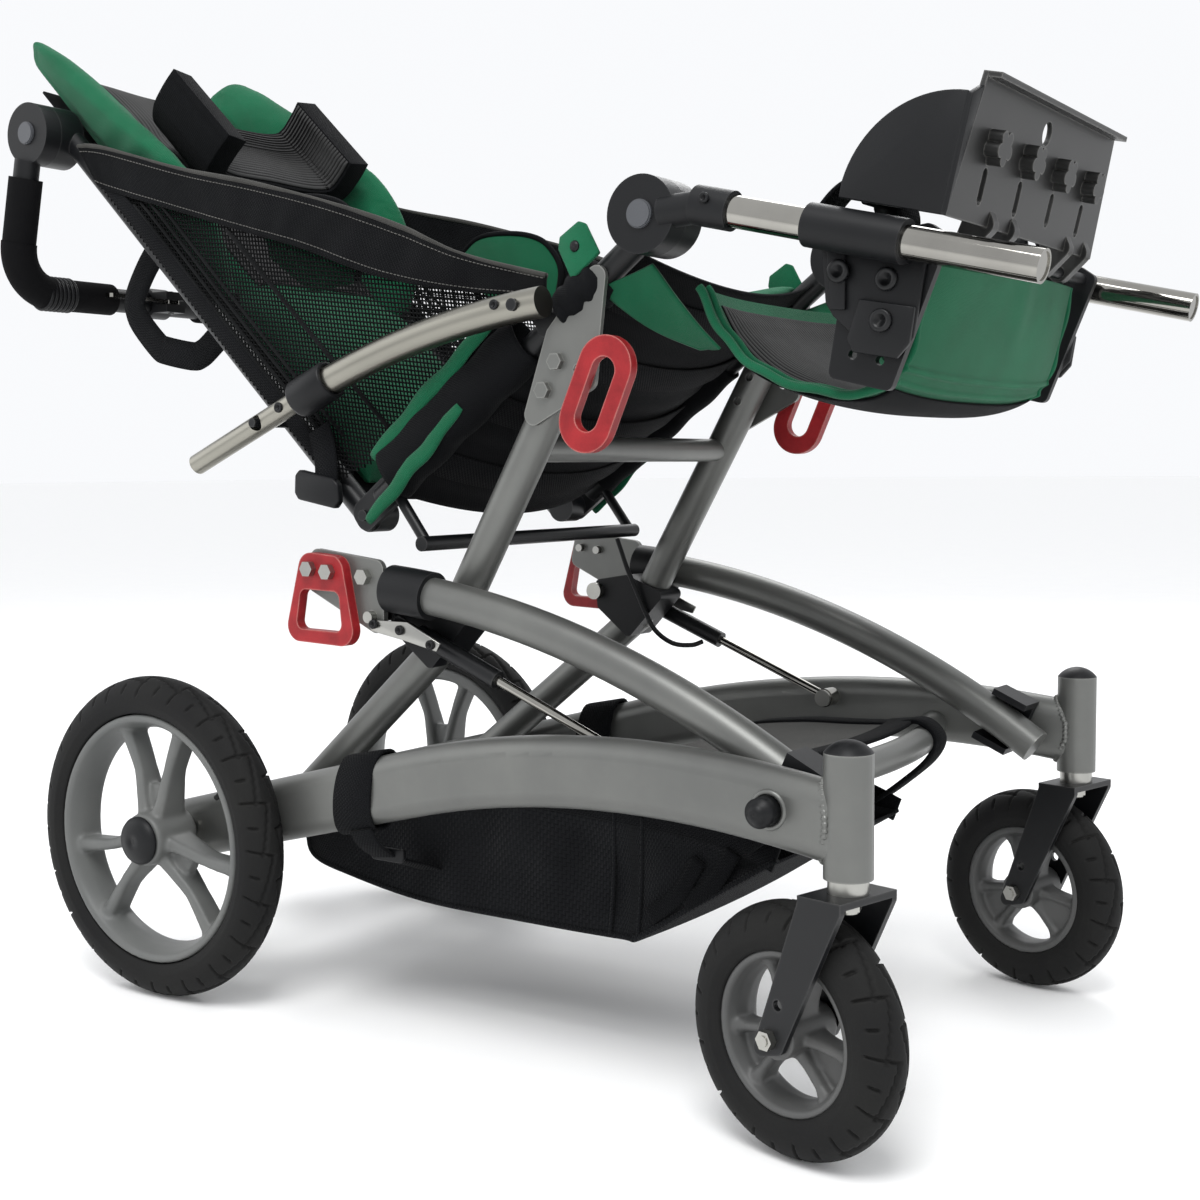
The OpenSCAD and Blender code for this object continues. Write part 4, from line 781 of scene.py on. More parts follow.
def make_arm_sleeves():
    hold = [(16.4, -21), (17.4, -19), (17.4, 19), (16.4, 21), (13.1, 21), (13.1, -21)]
    place = (Matrix.Translation((188.5, 191.5, 567)) @ Matrix.Rotation(radians(-23.3), 4, "Y")
             @ Matrix.Rotation(radians(-90), 4, "Z"))
    pair("arm_sleeve", lathe(hold, 48, WORLD @ place), PLASTIC, "recline_arms")


def make_carriage():
    """Plates, bolts, pins and heel straps of the sliding carriage."""
    body = "foot_carriage"
    cheek = [(144, 4), (158, -38), (166, -46), (181, -54), (187, -65), (224, -62), (231, -50), (228, 4)]
    block = [(186, -30), (229, -28), (231, -54), (224, -66), (190, -68), (183, -60)]
    strip = [(150, 2), (166, 2), (176, -40), (164, -42)]
    plates = (("plate", cheek, 167.4, 4.5), ("block", block, 171.9, 5), ("strip", strip, 171.9, 3))
    for name, outline, y, thick in plates:
        pair("carriage_" + name, slab(outline, y, thick, LEG), PLASTIC, body, bevel=1.2)
    for letter, place in (("a", (165, 174.6, -14)), ("b", (202, 171.6, -13)), ("c", (207, 176.6, -42))):
        pair("carriage_bolt_" + letter, screw(place, 8.5, 4.0, LEG), BLACK_METAL, body)
    pin = [(3.2, 34), (3.2, 0), (9.5, -1), (10.5, -6), (9.5, -13), (6, -15), (0.1, -15.4), (0.1, 34)]
    pair("carriage_pin", lathe(pin, 28, LEG @ Matrix.Translation((172, 138, 38))), PLASTIC, body)
    arch = [(x, 146, z) for x, z in ((128, 6), (133, 30), (150, 50), (178, 52), (196, 34), (198, 6))]
    pair("heel_strap", strap(arch, 34, 3.2, matrix=LEG), WEBBING, body)


def make_footplate_guard():
    """Rounded guard beside the footplate and the black corner of the plate."""
    low = 36
    reach = 79.5
    turns = [radians(a) for a in range(94, 178, 4)]
    arc = [(237 + reach * cos(a), low + 4 + reach * sin(a)) for a in turns]
    guard = [(237.6, low), (237.6, 119.5)] + arc + [(158, low)]
    piece("footplate_guard", slab(guard, -187.2, 6, LEG), PLASTIC, "footplate", bevel=1.0)
    crosswise = LEG @ Matrix(((0, 1, 0, 0), (1, 0, 0, 0), (0, 0, 1, 0), (0, 0, 0, 1)))
    corner = [(-187, low), (-187, 118), (-170.4, 126), (-184.6, low + 4)]
    piece("footplate_corner", slab(corner, 236.8, 4.4, crosswise), PLASTIC, "footplate", bevel=0.6)


# Seat and back: padded green covers on black slings

SOFT_GAP = 0.6
SLING_T = 6
BED = SLING_T / 2 + SOFT_GAP
SEAT_HALF = RAIL_Y - RAIL_R - SOFT_GAP
SEAT_SAG = 26
BACK_HALF = CANE_Y - RAIL_R - SOFT_GAP
BACK_SAG = 4
PAD_HALF = 132
PAD_EDGE = 6
CHANNEL_HALF = 3.0
PUFF_PRESSURE = 4.0
PUFF_STEPS = 20


def seat_sag(y):
    """Height of the seat sling's middle layer at a distance from the middle plane."""
    return -SEAT_SAG * (1 - (y / SEAT_HALF) ** 2)


def back_sag(y):
    """Place of the back sling's middle layer along the back's normal."""
    return CANE_OFF - BACK_SAG * (1 - (y / BACK_HALF) ** 2)


def subdivided(obj):
    levels = obj.modifiers.new("levels", "SUBSURF")
    levels.render_levels = 1
    levels.levels = 1


def puffed(obj, held, cap, voxel=5):
    """Cloth blown up by pressure from a smaller start; held(point) says which points are sewn down."""
    obj.modifiers.new("voxels", "REMESH").voxel_size = voxel * MM
    scene = bpy.context.scene
    scene.frame_set(1)
    material = obj.data.materials[0]
    obj.data = bpy.data.meshes.new_from_object(obj.evaluated_get(bpy.context.evaluated_depsgraph_get()))
    obj.data.materials.clear()
    obj.data.materials.append(material)
    obj.modifiers.clear()
    rest = [v.co.copy() for v in obj.data.vertices]
    group = obj.vertex_groups.new(name="sewn")
    group.add([i for i, p in enumerate(rest) if held(p)], 1.0, "REPLACE")
    cloth = obj.modifiers.new("cloth", "CLOTH")
    cloth.settings.use_pressure = True
    cloth.settings.uniform_pressure_force = PUFF_PRESSURE
    cloth.settings.effector_weights.gravity = 0
    cloth.settings.vertex_group_mass = "sewn"
    cloth.settings.quality = 5
    cloth.point_cache.frame_end = PUFF_STEPS
    for step in range(1, PUFF_STEPS + 1):
        scene.frame_set(step)
    moved = obj.evaluated_get(bpy.context.evaluated_depsgraph_get()).data.vertices
    places = []
    for start, end in zip(rest, moved):
        shift = end.co - start
        if shift.length > cap * MM:
            shift *= cap * MM / shift.length
        places += list(start + shift)
    obj.modifiers.clear()
    scene.frame_set(1)
    obj.data.vertices.foreach_set("co", places)
    obj.data.shade_smooth()
    subdivided(obj)


def pad(name, node, body, matrix, place, bed, span, thick, channels, half):
    """Crowned pad with sewn channels across it.

    place(run, y, rise) is a point over its bed in its frame, and bed(point) gives run and rise back."""
    start, end = span
    step = (end - start) / channels

    def drawn(t):
        """Share of the full size left where a side pulls in between two corners."""
        return 1 - 0.05 * (1 - (2 * t - 1) ** 2)

    def rise(u, v):
        sewn = abs(cos(u * pi * channels)) ** 14
        crown = max(0.0, (1 - (2 * u - 1) ** 6) * (1 - (2 * v - 1) ** 6)) ** 0.5
        return PAD_EDGE + (thick - PAD_EDGE - 5 * sewn) * crown

    def point(u, v, up):
        run = start + 4 + (end - start - 8) * (0.5 + (u - 0.5) * drawn(v))
        return place(run, (2 * v - 1) * (half(run) - 4) * drawn(u), up)

    mesh = closed_form(lambda u, v: point(u, v, rise(u, v)), lambda u, v: point(u, v, 0.5), 60, 32, matrix)
    made = piece(name, mesh, GREEN, body, replaces=node)
    back = matrix.inverted()

    def held(p):
        run, up = bed(back @ p)
        offset = (run - start) % step
        return up < PAD_EDGE or min(offset, step - offset) < CHANNEL_HALF

    puffed(made, held, 6)
    flat_uv(made, matrix, (0, 1) if matrix is SEAT else (2, 1))
    return made


def back_pad_half(run):
    """Half width of the back pad: narrower where the side wings stand beside it."""
    t = max(0.0, min(1.0, (run - 262) / 50))
    return PAD_HALF - 27 * t * t * (3 - 2 * t)


def make_pads():
    pad("seat_pad", "seat_cushion", "seat_frame", SEAT, lambda run, y, up: (run, y, seat_sag(y) + BED + up),
        lambda q: (q.x, q.z - seat_sag(q.y)), (34, 348), 28, 4, lambda run: PAD_HALF)
    bed = pad("back_pad", "back_cushion", "back", BACK, lambda run, y, up: (back_sag(y) + BED + up, y, run),
              lambda q: (q.z, q.x - CANE_OFF), (36, 660), 30, 5, back_pad_half)
    make_back_knit(bed)


def rib_height(ribs, t):
    return 1.5 * abs(sin(pi * ribs * t))


def rim_fade(u, v, rate):
    """0 at a sheet's rim, 1 inside it."""
    return min(1.0, rate * min(u, 1 - u, v, 1 - v))


def make_back_knit(bed):
    """Ribbed knit dropped on the back pad."""
    tree = BVHTree.FromObject(bed, bpy.context.evaluated_depsgraph_get())
    down = (BACK.to_3x3() @ Vector((-1, 0, 0))).normalized()
    back = BACK.inverted()
    low, high, half = 300, 636, 86
    ribs = int(2 * half / KNIT_RIB)

    def on_pad(u, v):
        start = BACK @ Vector((150, (2 * v - 1) * half, low + (high - low) * u))
        hit = tree.ray_cast(start, down)[0] or tree.find_nearest(start)[0]
        lift = 0.6 + rim_fade(u, v, 20) * (0.6 + rib_height(ribs, v))
        return back @ (hit - down * lift * MM)

    ribbed = grid(on_pad, 70, ribs * 5, (high - low, 2 * half), BACK)
    knit = piece("back_knit", ribbed, KNIT, "back", thick=1.0)


# Side wings of the back: height of the edge over the back at distances up it
WING_LINE = xz_path([(286, 5), (306, 34), (340, 62), (378, 78), (421, 83), (465, 78), (530, 66), (575, 59),
                     (620, 48), (648, 38), (672, 30)], 6)
WING_LOW = 288
WING_LEN = 384
WING_SHARE = {"right": 0.84, "left": 1.12}


def wing_point(u, v, out, share):
    """Point of a wing's outer or inner face: u runs up the back, v out to the edge."""
    run = WING_LOW + WING_LEN * u
    edge = float(np.interp(run, [p.x for p in WING_LINE], [p.z for p in WING_LINE])) * share
    thick = 0.5 + 14 * sqrt(max(0.0, 1 - v ** 6)) * sqrt(max(0.0, 1 - (2 * u - 1) ** 16))
    fold = 1.6 * sin(run * 0.16 + 3 * v) * v * (1 - v) * 4 * exp(-((u - 0.42) / 0.2) ** 2)
    cap = max(0.0, 1 - max(0.0, (run - 640) / 32.3) ** 4) ** 0.25
    lean = 9 + (18 * v ** 1.3 - 9) * cap
    return (1 + 13 * (1 - cap) + (edge * cap - 1) * v, 119.5 + lean + out * thick + fold, run)


def make_wings():
    back = BACK.inverted()
    for side, sign in SIDES.items():

        def face(u, v, out):
            x, y, z = wing_point(u, v, out, WING_SHARE[side])
            return (x, sign * y, z)

        mesh = closed_form(lambda u, v: face(u, v, 1), lambda u, v: face(u, v, -1), 80, 18, BACK)
        made = piece(side + "_back_wing", mesh, GREEN, "back")
        puffed(made, lambda p: (back @ p).x < 8, 4, voxel=4)
        flat_uv(made, BACK, (2, 0))


def make_slings():
    """Black cloth under the pads, with webbing sewn across it."""
    seat = (34, SEAT_LEN - 36)
    back = (30, 625)

    def seat_point(u, v):
        y = (2 * v - 1) * SEAT_HALF
        return (seat[0] + u * (seat[1] - seat[0]), y, seat_sag(y) - 1.5 * cos(u * 31) ** 2)

    def back_point(u, v):
        y = (2 * v - 1) * BACK_HALF
        return (back_sag(y), y, back[0] + u * (back[1] - back[0]))

    cloth = grid(seat_point, 60, 40, (316, 330), SEAT)
    made = piece("seat_sling_cloth", cloth, BLACK_CLOTH, "seat_frame", thick=2.4, replaces="seat_sling")
    cloth = grid(back_point, 60, 30, (595, 273), BACK)
    made = piece("back_sling_cloth", cloth, BLACK_CLOTH, "back", thick=2.4, replaces="back_sling")
    for letter, run in zip("abcd", (84, 160, 236, 308)):
        line = [(run, y, seat_sag(y) - 4.6) for y in range(-148, 149, 8)]
        web = sweep(line, flat_section(30, 2.2), (1, 0, 0), SEAT)
        piece("seat_strap_" + letter, web, WEBBING, "seat_frame")
    for letter, run in zip("abcd", (120, 260, 400, 540)):
        line = [(back_sag(y) - 4.4, y, run) for y in range(-134, 135, 8)]
        web = sweep(line, flat_section(32, 2.2), (0, 0, 1), BACK)
        piece("back_strap_" + letter, web, WEBBING, "back")


def make_rail_sleeves():
    """Cloth sleeves round the seat rails, with rolled green edges."""
    start, length = 46, 184

    def sleeve(u, v):
        a = 2 * pi * v
        x = start + length * u
        bulge = 1 + 0.05 * sin(x * 0.12 + 2 * a)
        z = 6 + (20 * bulge + 8 * max(0, sin(a))) * sin(a)
        return (x, RAIL_Y + 15.5 * bulge * cos(a), z)

    cloth = grid(sleeve, 50, 28, (length, 110), SEAT, ring=True)
    for made in pair("rail_sleeve", cloth, BLACK_CLOTH, "seat_frame", thick=1.2).values():
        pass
    make_green_edge("upper", Vector((40, 166, 34)), Vector((214, 166, 43)), 6.5)
    make_green_edge("lower", Vector((8, 176.5, -12)), Vector((150, 176.5, 3)), 6.0)


def make_green_edge(name, start, end, size):
    line = []
    for k in range(41):
        t = k / 40
        line.append(start.lerp(end, t) + Vector((0, 0, 1.6 * sin(17 * t) * sin(pi * t))))

    def roll(t):
        swell = size * (0.55 + 0.45 * sin(pi * min(1, max(0, t))) ** 0.5)
        return [(0.55 * a, 1.25 * b) for a, b in round_section(swell, 12)]

    pair(name + "_green_edge", sweep(line, roll, (-0.1, 0, 1), SEAT), GREEN, "seat_frame")


# Head support: a padded bridge with two blunt wings, knitted inside

HEAD_LOW = 415
HEAD_H = 105
HEAD_T = 27
HEAD_WING = [(107, 101, 0), (86, 103, 0), (62, 101, 0), (43, 88, 0), (34.5, 58, 0)]
HEAD_LINE = smooth_path([(x, -y, z) for x, y, z in HEAD_WING] + [(33.5, 0, 0)] + HEAD_WING[::-1], 8)


def head_point(u, v, depth):
    """Point of the support at a height and a place across, at a depth from its outer face."""
    p, heading = heading_at(HEAD_LINE, v)
    t = abs(2 * v - 1)
    low = HEAD_LOW + 10 * (1 - t) ** 2
    return (p.x + heading.y * depth, p.y - heading.x * depth, low + (HEAD_H - 14 * (1 - t) ** 2) * u)


def make_headrest():

    def inner(u, v):
        t = abs(2 * v - 1)
        groove = 4 * max(0.0, 1 - t / 0.5) * (abs(sin(1.5 * pi * u)) ** 0.4 - 1)
        return HEAD_T + groove - 1.6

    core = closed_form(lambda u, v: head_point(u, v, inner(u, v)), lambda u, v: head_point(u, v, 0),
                       30, 80, BACK)
    made = piece("headrest_body", core, BLACK_CLOTH, "back", bevel=4.0, replaces="headrest")
    flat_uv(made, BACK, (2, 1))
    ribs = int(HEAD_H / KNIT_RIB)

    def knit(u, v):
        a, b = 0.03 + 0.94 * u, 0.012 + 0.976 * v
        return head_point(a, b, inner(a, b) + rim_fade(u, v, 30) * (0.8 + rib_height(ribs, u)))

    face = piece("headrest_knit", grid(knit, ribs * 6, 110, (HEAD_H, 320), BACK), KNIT, "back", thick=1.0)
    for loop in face.data.uv_layers.active.data:
        loop.uv = (loop.uv.y, loop.uv.x)


# Side panels: dense net between the back, the seat and a webbing band

PANEL_Y = CANE_Y + RAIL_R + 0.5
BAND_TOP = [(-150, 818), (-112, 812), (-5, 781), (95, 757), (188, 731), (266, 704), (332, 676), (418, 652)]
BAND_LOW = [(-122, 777), (-95, 767), (20, 733), (87, 713), (150, 695), (242, 663), (331, 645), (418, 636)]
PANEL = ([from_hinge(BACK_SLOPE, 48, 8), from_hinge(SEAT_ANGLE, 48, 30), from_hinge(SEAT_ANGLE, 210, 40),
          from_hinge(SEAT_ANGLE, 268, 34)] + [Vector((x, z + 8)) for x, z in reversed(BAND_LOW[1:])]
         + [from_hinge(BACK_SLOPE, 470, 8)])
TOP_LINE = xz_path(BAND_TOP, 10)
LOW_LINE = xz_path(BAND_LOW, 10)
POCKET = [(86, 728), (104, 740), (130, 743), (168, 739), (195, 727), (212, 700), (204, 662), (150, 656),
          (100, 690)]
NET_BEND = ("seat_frame", "back", (0.30, 0, 0.50), (0.17, 0, 0.55))
BAND_BEND = ("seat_frame", "back", (0.36, 0, 0.64), (0.05, 0, 0.74))


def inside(p, outline):
    """True where a point lies inside an outline."""
    count = 0
    for a, b in zip(outline, outline[1:] + outline[:1]):
        if (a.y > p.y) != (b.y > p.y) and p.x < a.x + (p.y - a.y) / (b.y - a.y) * (b.x - a.x):
            count += 1
    return count % 2 == 1


def panel_y(p):
    """Distance of the net from the middle plane at a point of its own plane, where it bows out."""
    return PANEL_Y + 4 * max(0.0, 1 - ((p - Vector((150, 650))).length / 200) ** 2)


def net_mesh():
    """Half-drop net of lozenges, in rows along the back cane."""
    run = from_hinge(BACK_SLOPE, 1) - Vector(HINGE)
    out = Vector((run.y, -run.x))
    half_run, half_out = 3.1, 2.35
    verts = {}
    faces = []

    def spot(i, j):
        return Vector(HINGE) + run * (i * half_run) + out * (j * half_out)

    def at(i, j):
        if (i, j) not in verts:
            p = spot(i, j)
            verts[(i, j)] = (len(verts), WORLD @ Vector((p.x, panel_y(p), p.y)))
        return verts[(i, j)][0]

    for i in range(-30, 200):
        for j in range(-8, 170):
            if (i + j) % 2 and inside(spot(i, j), PANEL):
                faces.append((at(i - 1, j), at(i, j + 1), at(i + 1, j), at(i, j - 1)))
    return new_mesh([p for _, p in verts.values()], faces)


def make_nets():
    for side, made in pair("panel_net", net_mesh(), NET, blend=NET_BEND).items():
        wires = made.modifiers.new("strands", "WIREFRAME")
        wires.thickness = 2.3 * MM
        wires.use_even_offset = False
        if side == "right":
            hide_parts("side_panels")


def stitches(path, pitch, length, size, up):
    """Row of short raised threads along a path."""
    marks = [0.0]
    for a, b in zip(path, path[1:]):
        marks.append(marks[-1] + (b - a).length)

    def at(d):
        k = max(0, min(len(path) - 2, int(np.searchsorted(marks, d)) - 1))
        return path[k].lerp(path[k + 1], (d - marks[k]) / (marks[k + 1] - marks[k]))

    rows = []
    for k in range(int(marks[-1] / pitch)):
        start = k * pitch + 0.5
        rows.append(sweep([at(start), at(start + length / 2) + Vector(up) * size * 0.4, at(start + length)],
                          round_section(size, 5), up))
    return joined(rows)


def band_point(u, v):
    """Point of the webbing band: u runs forward, v up from its lower edge."""
    p = line_at(LOW_LINE, u).lerp(line_at(TOP_LINE, u), v)
    ripple = 0.9 * sin(u * 40) * sin(pi * v) + 0.5 * sin(u * 97 + 2)
    return Vector((p.x, panel_y(Vector((p.x, p.z))) + 3.2 + ripple, p.z))


def make_bands():
    """Webbing along the panels' tops, with a rolled edge and two rows of stitches."""
    steps = 140
    cloth = grid(band_point, steps, 14, (600, 46))
    for made in pair("panel_band", cloth, WEBBING, thick=2.6, blend=BAND_BEND).values():
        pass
    edge = [band_point(k / steps, 1.0) for k in range(steps + 1)]
    roll = sweep(edge, lambda t: round_section(2.1 + 0.5 * sin(t * 900), 8), (0, 0, 1))
    pair("band_edge", roll, LINING, blend=BAND_BEND)
    for name, v in (("upper", 0.86), ("lower", 0.12)):
        line = [band_point(k / steps, v) + Vector((0, 1.5, 0)) for k in range(steps + 1)]
        pair(f"band_{name}_stitches", stitches(line, 4.2, 2.8, 0.45, (0, 1, 0)), THREAD, blend=BAND_BEND)


def on_panel(points, proud):
    return [(p.x, panel_y(p) + proud, p.y) for p in points]


def make_panel_edges():
    """Bindings along the cane and the rail, and cords sewn over the net."""
    line = [from_hinge(BACK_SLOPE, 50 + 43 * k, -1) for k in range(11)]
    pair("panel_cane_edge", strap(on_panel(line, 2.2), 15, steps=4, up=(0.7, 0, 0.7)), WEBBING, "back")
    cords = (("a", -9, 1.5), ("b", -17, 1.5), ("c", -25, 1.5), ("d", -33, 1.5), ("e", -74, 2.2))
    for letter, off, radius in cords:
        line = [from_hinge(BACK_SLOPE, 96 + 30 * i + 0.88 * off, off) for i in range(12)]
        line = [p for p in line if inside(p, PANEL)]
        cord = sweep(on_panel(line, 1.4), round_section(radius, 8), (0.7, 0, 0.7))
        pair("panel_cord_" + letter, cord, NET, "back")
    line = [from_hinge(SEAT_ANGLE, 52 + 31 * k, 31 + 0.055 * (31 * k)) for k in range(8)]
    pair("panel_rail_edge", strap(on_panel(line, 1.8), 14, steps=4, up=(-0.6, 0, 0.8)), WEBBING, "seat_frame")


def make_pockets():
    flaps = pair("inner_pocket", slab(POCKET, 150, 3), GREEN, bevel=1.0, blend=BAND_BEND)
    binding = sweep(xz_path(POCKET[:7], 6, 151.5), round_section(3.0, 8))
    trims = pair("pocket_binding", binding, BLACK_CLOTH, blend=BAND_BEND)
    for side, flap in flaps.items():
        flat_uv(flap, WORLD, (0, 2))


# Straps and clips round the frame

def make_back_loops():
    line = [(-13, 404), (-50, 404), (-84, 398), (-95, 388), (-99, 372), (-99, 340), (-95, 328), (-74, 296),
            (-64, 288), (-50, 284), (-13, 278)]
    pair("back_loop", sweep(xz_path(line, 4, 118), flat_section(3.2, 28), matrix=BACK), WEBBING, "back")


def make_hip_straps():
    hang = [(172, 170, 534), (182, 174, 512), (184, 175, 490), (178, 174, 474)]
    pair("hip_strap", strap(hang, 26, 3.0, up=(0.9, 0, 0.25)), WEBBING, "seat_frame")
    clasp = [(152, 470), (196, 462), (201, 468), (200, 484), (194, 489), (154, 497), (149, 492), (148, 476)]
    pair("hip_clasp", slab(clasp, 171, 8), PLASTIC, "seat_frame", bevel=2.0)


def make_rail_knots():
    """Cloth wound round the front ends of the seat rails."""
    turns = ((276, 0.1, 15), (285, -0.12, 16), (294, 0.1, 17), (303, -0.14, 17), (313, 0.12, 15))
    for side, sign in SIDES.items():
        core = [(run, sign * RAIL_Y, 0) for run in (272, 296, 320)]
        lumps = [sweep(core, round_section(16.5, 20), matrix=SEAT)]
        for run, lean, reach in turns:
            ring = [(run + lean * reach * s, sign * (RAIL_Y + reach * c), reach * s) for c, s in circle(28)]
            lumps.append(sweep(ring, round_section(4.6, 10), (1, 0, 0), SEAT, closed=True))
        flat_uv(piece(side + "_rail_knot", fused(lumps, 2.4, 3), BLACK_CLOTH, "seat_frame"), SEAT, (0, 2))


def make_rail_tabs():
    tab = [(300, 10), (305, 38), (312, 45), (333, 43), (337, 37), (333, 10)]
    for made in pair("rail_tab", slab(tab, 174, 4.5, SEAT), GREEN, "seat_frame", bevel=1.5).values():
        flat_uv(made, SEAT, (0, 2))
    snap = [(0.1, 2.4), (2.2, 2.1), (4, 1.0), (4.6, 0), (0.1, 0)]
    pair("tab_snap", lathe(snap, 28, SEAT @ Matrix.Translation((319, 178.6, 29))), PLASTIC, "seat_frame")


def make_arch_straps():
    """Wide loops that hang the basket from the lower arches, with their tails and buckles."""
    x = 236
    y = 160 + 0.115 * x
    z = 213.5
    wrap = [(x + 3.96 * s, y + copysign(abs(c) ** 0.8, c) * 19.6, z + 35 * s) for c, s in circle(48)]
    pair("arch_strap", sweep(wrap, flat_section(42, 3.0), (1, 0, 0.2), closed=True), WEBBING, "base",
         slot="basket_cloth")
    tail = [(x + 4, y + 14, z - 31), (x + 8, y + 6, z - 46), (x + 12, y - 14, z - 60), (x + 14, 140, z - 72),
            (x + 15, 120, z - 80)]
    pair("arch_strap_tail", strap(tail, 26, 3.0, up=(1, 0, 0.1)), WEBBING, "base", slot="basket_cloth")
    buckle = [(x - 2, z - 62), (x + 30, z - 62), (x + 33, z - 58), (x + 33, z - 50), (x - 5, z - 50),
              (x - 5, z - 58)]
    pair("strap_buckle", slab(buckle, y - 13, 5), PLASTIC, "base", bevel=1.2)


# Calf sling: green cloth with a knitted middle, hung under the leg tubes and up to the footplate

CALF_LINE = xz_path([(30, -52), (60, -84), (100, -106), (150, -112), (200, -104), (228, -76), (233, -36),
                     (232, 11.6)], 16)
CALF_HALF = 150
CALF_BEND = ("seat_frame", "leg_rest", LEG @ Vector((20, 0, -40)), LEG @ Vector((90, 0, -90)))
CALF_SIDE_BEND = ("seat_frame", "leg_rest", LEG @ Vector((-30, 0, -40)), LEG @ Vector((60, 0, -70)))


def calf_point(u, v, off=0.0):
    """Point of the sling: u runs down the calf, v across; off is a height over it."""
    p, heading = heading_at(CALF_LINE, u)
    t = 2 * v - 1
    hollow = 10 * abs(t) ** 3
    seams = sum(2.6 * exp(-(((u - at) / 0.007) ** 2)) for at in (0.665, 0.715))
    fold = 3 * exp(-(((t - 0.1) / 0.12) ** 2)) * max(0.0, min(1.0, (u - 0.78) / 0.15))
    wave = 1.5 * sin(9 * t + 6 * u) * max(0.0, u - 0.7)
    normal = Vector((-heading.z, 0, heading.x))
    return p + normal * (off + hollow - seams - fold + wave) + Vector((0, t * CALF_HALF, 0))


def make_calf_sling():
    cloth = grid(calf_point, 224, 72, (400, 300), LEG)
    made = piece("calf_cloth", cloth, GREEN, thick=3, replaces="calf_sling", blend=CALF_BEND)
    under = grid(lambda u, v: calf_point(0.04 + 0.6 * u, 0.02 + 0.96 * v, -3.6), 90, 60, (240, 290), LEG)
    lining = piece("calf_lining", under, BLACK_CLOTH, thick=1.6, blend=CALF_BEND)
    half = 120
    ribs = int(2 * half / KNIT_RIB)

    def knit(u, v):
        bulge = 11 * sin(pi * u) * (1 - (2 * v - 1) ** 4)
        lift = 1.9 + rim_fade(u, v, 12) ** 0.5 * (1.5 + rib_height(ribs, v)) + bulge
        return calf_point(0.05 + 0.5 * u, 0.5 + (v - 0.5) * half / CALF_HALF, lift)

    ribbed = grid(knit, 60, ribs * 5, (200, 2 * half), LEG)
    face = piece("calf_knit", ribbed, KNIT, thick=1.2, blend=CALF_BEND)
    for side, sign in SIDES.items():
        for name, v, up, radius, last in (("outer", 0.497, 0, 3.6, 1.0), ("inner", 0.46, 3.4, 2.8, 0.62)):
            runs = [last * k / 120 for k in range(121)]
            line = [calf_point(u, 0.5 + sign * v, up + 0.9 * sin(u * 46)) for u in runs]
            hem = sweep(line, round_section(radius, 10), matrix=LEG)
            piece(f"{side}_calf_{name}_hem", hem, GREEN, blend=CALF_BEND)


def make_calf_sides():
    """Green cloth from the calf sling up to the knuckles."""
    high = xz_path([(3, -35), (26, -56), (48, -74), (68, -88)], 8)
    low = xz_path([(-44, -62), (-22, -74), (10, -86), (50, -92)], 8)

    def flap(u, v):
        p = line_at(low, u).lerp(line_at(high, u), v)
        return (p.x, 168 - 17 * u ** 0.8 - 3 * sin(pi * v), p.z)

    cloth = grid(flap, 40, 16, (140, 60), LEG)
    for made in pair("calf_side", cloth, GREEN, thick=2.4, blend=CALF_SIDE_BEND).values():
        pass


# Basket: a cloth box under the lower arches, with bound seams and a net cover at the front

BASKET_HALF = 117
BASKET_REAR = 92
BASKET_LEN = 512
BASKET_LOWEST = 97.2
FLOOR_LINE = xz_path([(92, 182), (97, 150), (106, 126), (150, 114), (240, 101), (350, 98.5), (455, 98.5),
                      (474, 101), (530, 136), (604, 182)], 10)
RIM_LINE = xz_path([(92, 184), (170, 196), (330, 212), (480, 207), (560, 199), (604, 184)], 10)
COVER_LINE = xz_path([(400, 226), (450, 250), (512, 259), (570, 261), (612, 263), (640, 267), (656, 253),
                      (648, 233), (620, 208), (596, 190)], 10)
COVER_HALF = 128
COVER_END = 0.47


def basket_point(u, v):
    """Point of the basket's cloth: u runs forward along the floor, v from rim to rim under it."""
    wall = 0.68
    t = 2 * v - 1
    low = line_at(FLOOR_LINE, u)
    share = (low.x - BASKET_REAR) / BASKET_LEN
    high = line_at(RIM_LINE, share)
    climb = max(0.0, (abs(t) - wall) / (1 - wall))
    level = min(1.0, abs(t) / wall)
    ripple = 2.6 * sin(share * 23 + 3 * climb) + 1.6 * sin(share * 61 - 4 * climb) - 3
    wave = ripple * sin(climb * pi) * (climb > 0)
    sag = -4 * sin(pi * share) * (1 - level ** 2)
    z = low.z + (high.z - low.z) * climb + sag
    return (low.x, copysign(level ** 0.9 * BASKET_HALF + wave, t), max(BASKET_LOWEST, z))


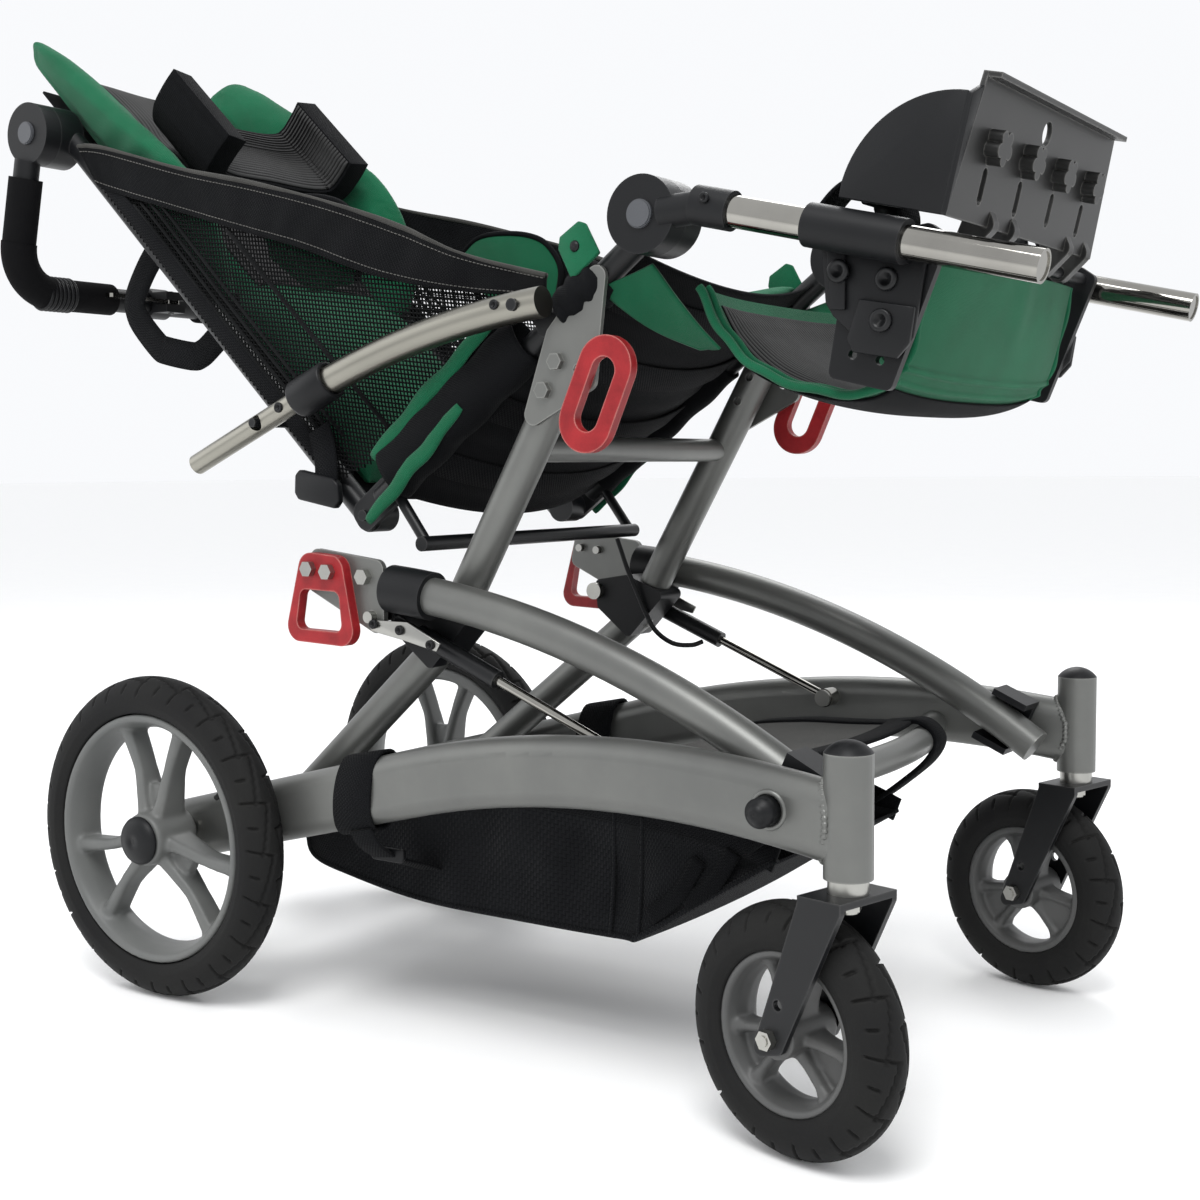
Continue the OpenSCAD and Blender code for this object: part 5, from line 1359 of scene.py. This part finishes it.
def make_basket():
    made = piece("basket_cloth", grid(basket_point, 120, 90, (620, 420)), BASKET_CLOTH, "base", thick=2.4,
                 replaces="basket")
    line = [(p.x, BASKET_HALF, p.z) for p in RIM_LINE]
    pair("basket_hem", sweep(line, flat_section(22, 3.4), (0, 0, 1)), WEBBING, "base", slot="basket_cloth")
    line = [(p.x, BASKET_HALF + 0.5, p.z + 2) for p in FLOOR_LINE]
    pair("basket_piping", sweep(line, round_section(2.6, 8)), BASKET_CLOTH, "base")
    for letter, x, low, high in (("a", 446, 100, 206), ("b", 474, 104, 205)):
        line = []
        for t in np.linspace(0, 1, 25):
            y = BASKET_HALF + 1.4 - 3 * sin(pi * t)
            line.append((x + 5 * t, y, low + (high - low) * t))
        pair("basket_seam_" + letter, sweep(line, round_section(1.9, 8)), BASKET_CLOTH, "base")
    for letter, start, end in (("a", (486, 122), (534, 176)), ("b", (520, 138), (566, 186))):
        low, high = (Vector((x, 119.5, z)) for x, z in (start, end))
        line = [low, (low + high) / 2 + Vector((5, 1.5, -4)), high]
        pair("basket_strap_" + letter, strap(line, 3.0, 14, steps=6), WEBBING, "base", slot="basket_cloth")


def cover_point(t, y, off=0.0):
    """Point of the cover, which sags in the middle and wraps round the front cross tube."""
    p = line_at(COVER_LINE, t)
    bow = 13 * (y / 120) ** 2 * max(0.0, min(1.0, (p.x - 480) / 110))
    sag = 5 * sin(pi * min(1.0, t / 0.5)) * (1 - (y / COVER_HALF) ** 2)
    return (p.x - bow, y, p.z + off - sag)


def make_basket_cover():
    cloth = grid(lambda u, v: cover_point(COVER_END * u, (2 * v - 1) * COVER_HALF), 60, 60, (190, 256))
    made = piece("basket_cover", cloth, LINING, "base", "basket_cloth", thick=1.4)
    for name, t in (("front", COVER_END), ("rear", 0.0)):
        line = [cover_point(t, y, 1.0) for y in range(-COVER_HALF, COVER_HALF + 1, 8)]
        hem = sweep(line, flat_section(24, 4.0), (1, 0, 0.1))
        piece(name + "_cover_hem", hem, WEBBING, "base", "basket_cloth")
    line = [cover_point(k / 90, COVER_HALF - 8) for k in range(91)]
    pair("flap_hem", sweep(line, flat_section(24, 4.2)), WEBBING, "base", slot="basket_cloth")


# Release cable from the seat's rear bar to one strut

CABLE = [(294.5, 128, 425), (299, 129, 412), (305, 130, 395), (313, 133.4, 374), (323, 134.7, 352),
         (334, 137, 333), (346, 150, 320), (357, 168, 317), (364, 178, 320)]
CABLE_D = 4.8


def make_cable():
    path = smooth_path(CABLE, 10)
    bend = ("seat_frame", "base", WORLD @ Vector(CABLE[0]), WORLD @ Vector((425, 222, 249)))
    made = piece("cable_tube", sweep(path, round_section(CABLE_D / 2, 14)), PLASTIC, replaces="release_cable",
                 blend=bend)


make_camera()
make_studio()
finish_nodes()
make_cable()
make_wheels()
make_hubs()
make_screws()
make_arch_nuts()
make_barrel_welds()
make_strut_plates()
make_grip_ribs()
make_arm_sleeves()
make_carriage()
make_footplate_guard()
make_pads()
make_wings()
make_slings()
make_rail_sleeves()
make_headrest()
make_nets()
make_bands()
make_panel_edges()
make_pockets()
make_back_loops()
make_hip_straps()
make_rail_knots()
make_rail_tabs()
make_arch_straps()
make_calf_sling()
make_calf_sides()
make_basket()
make_basket_cover()
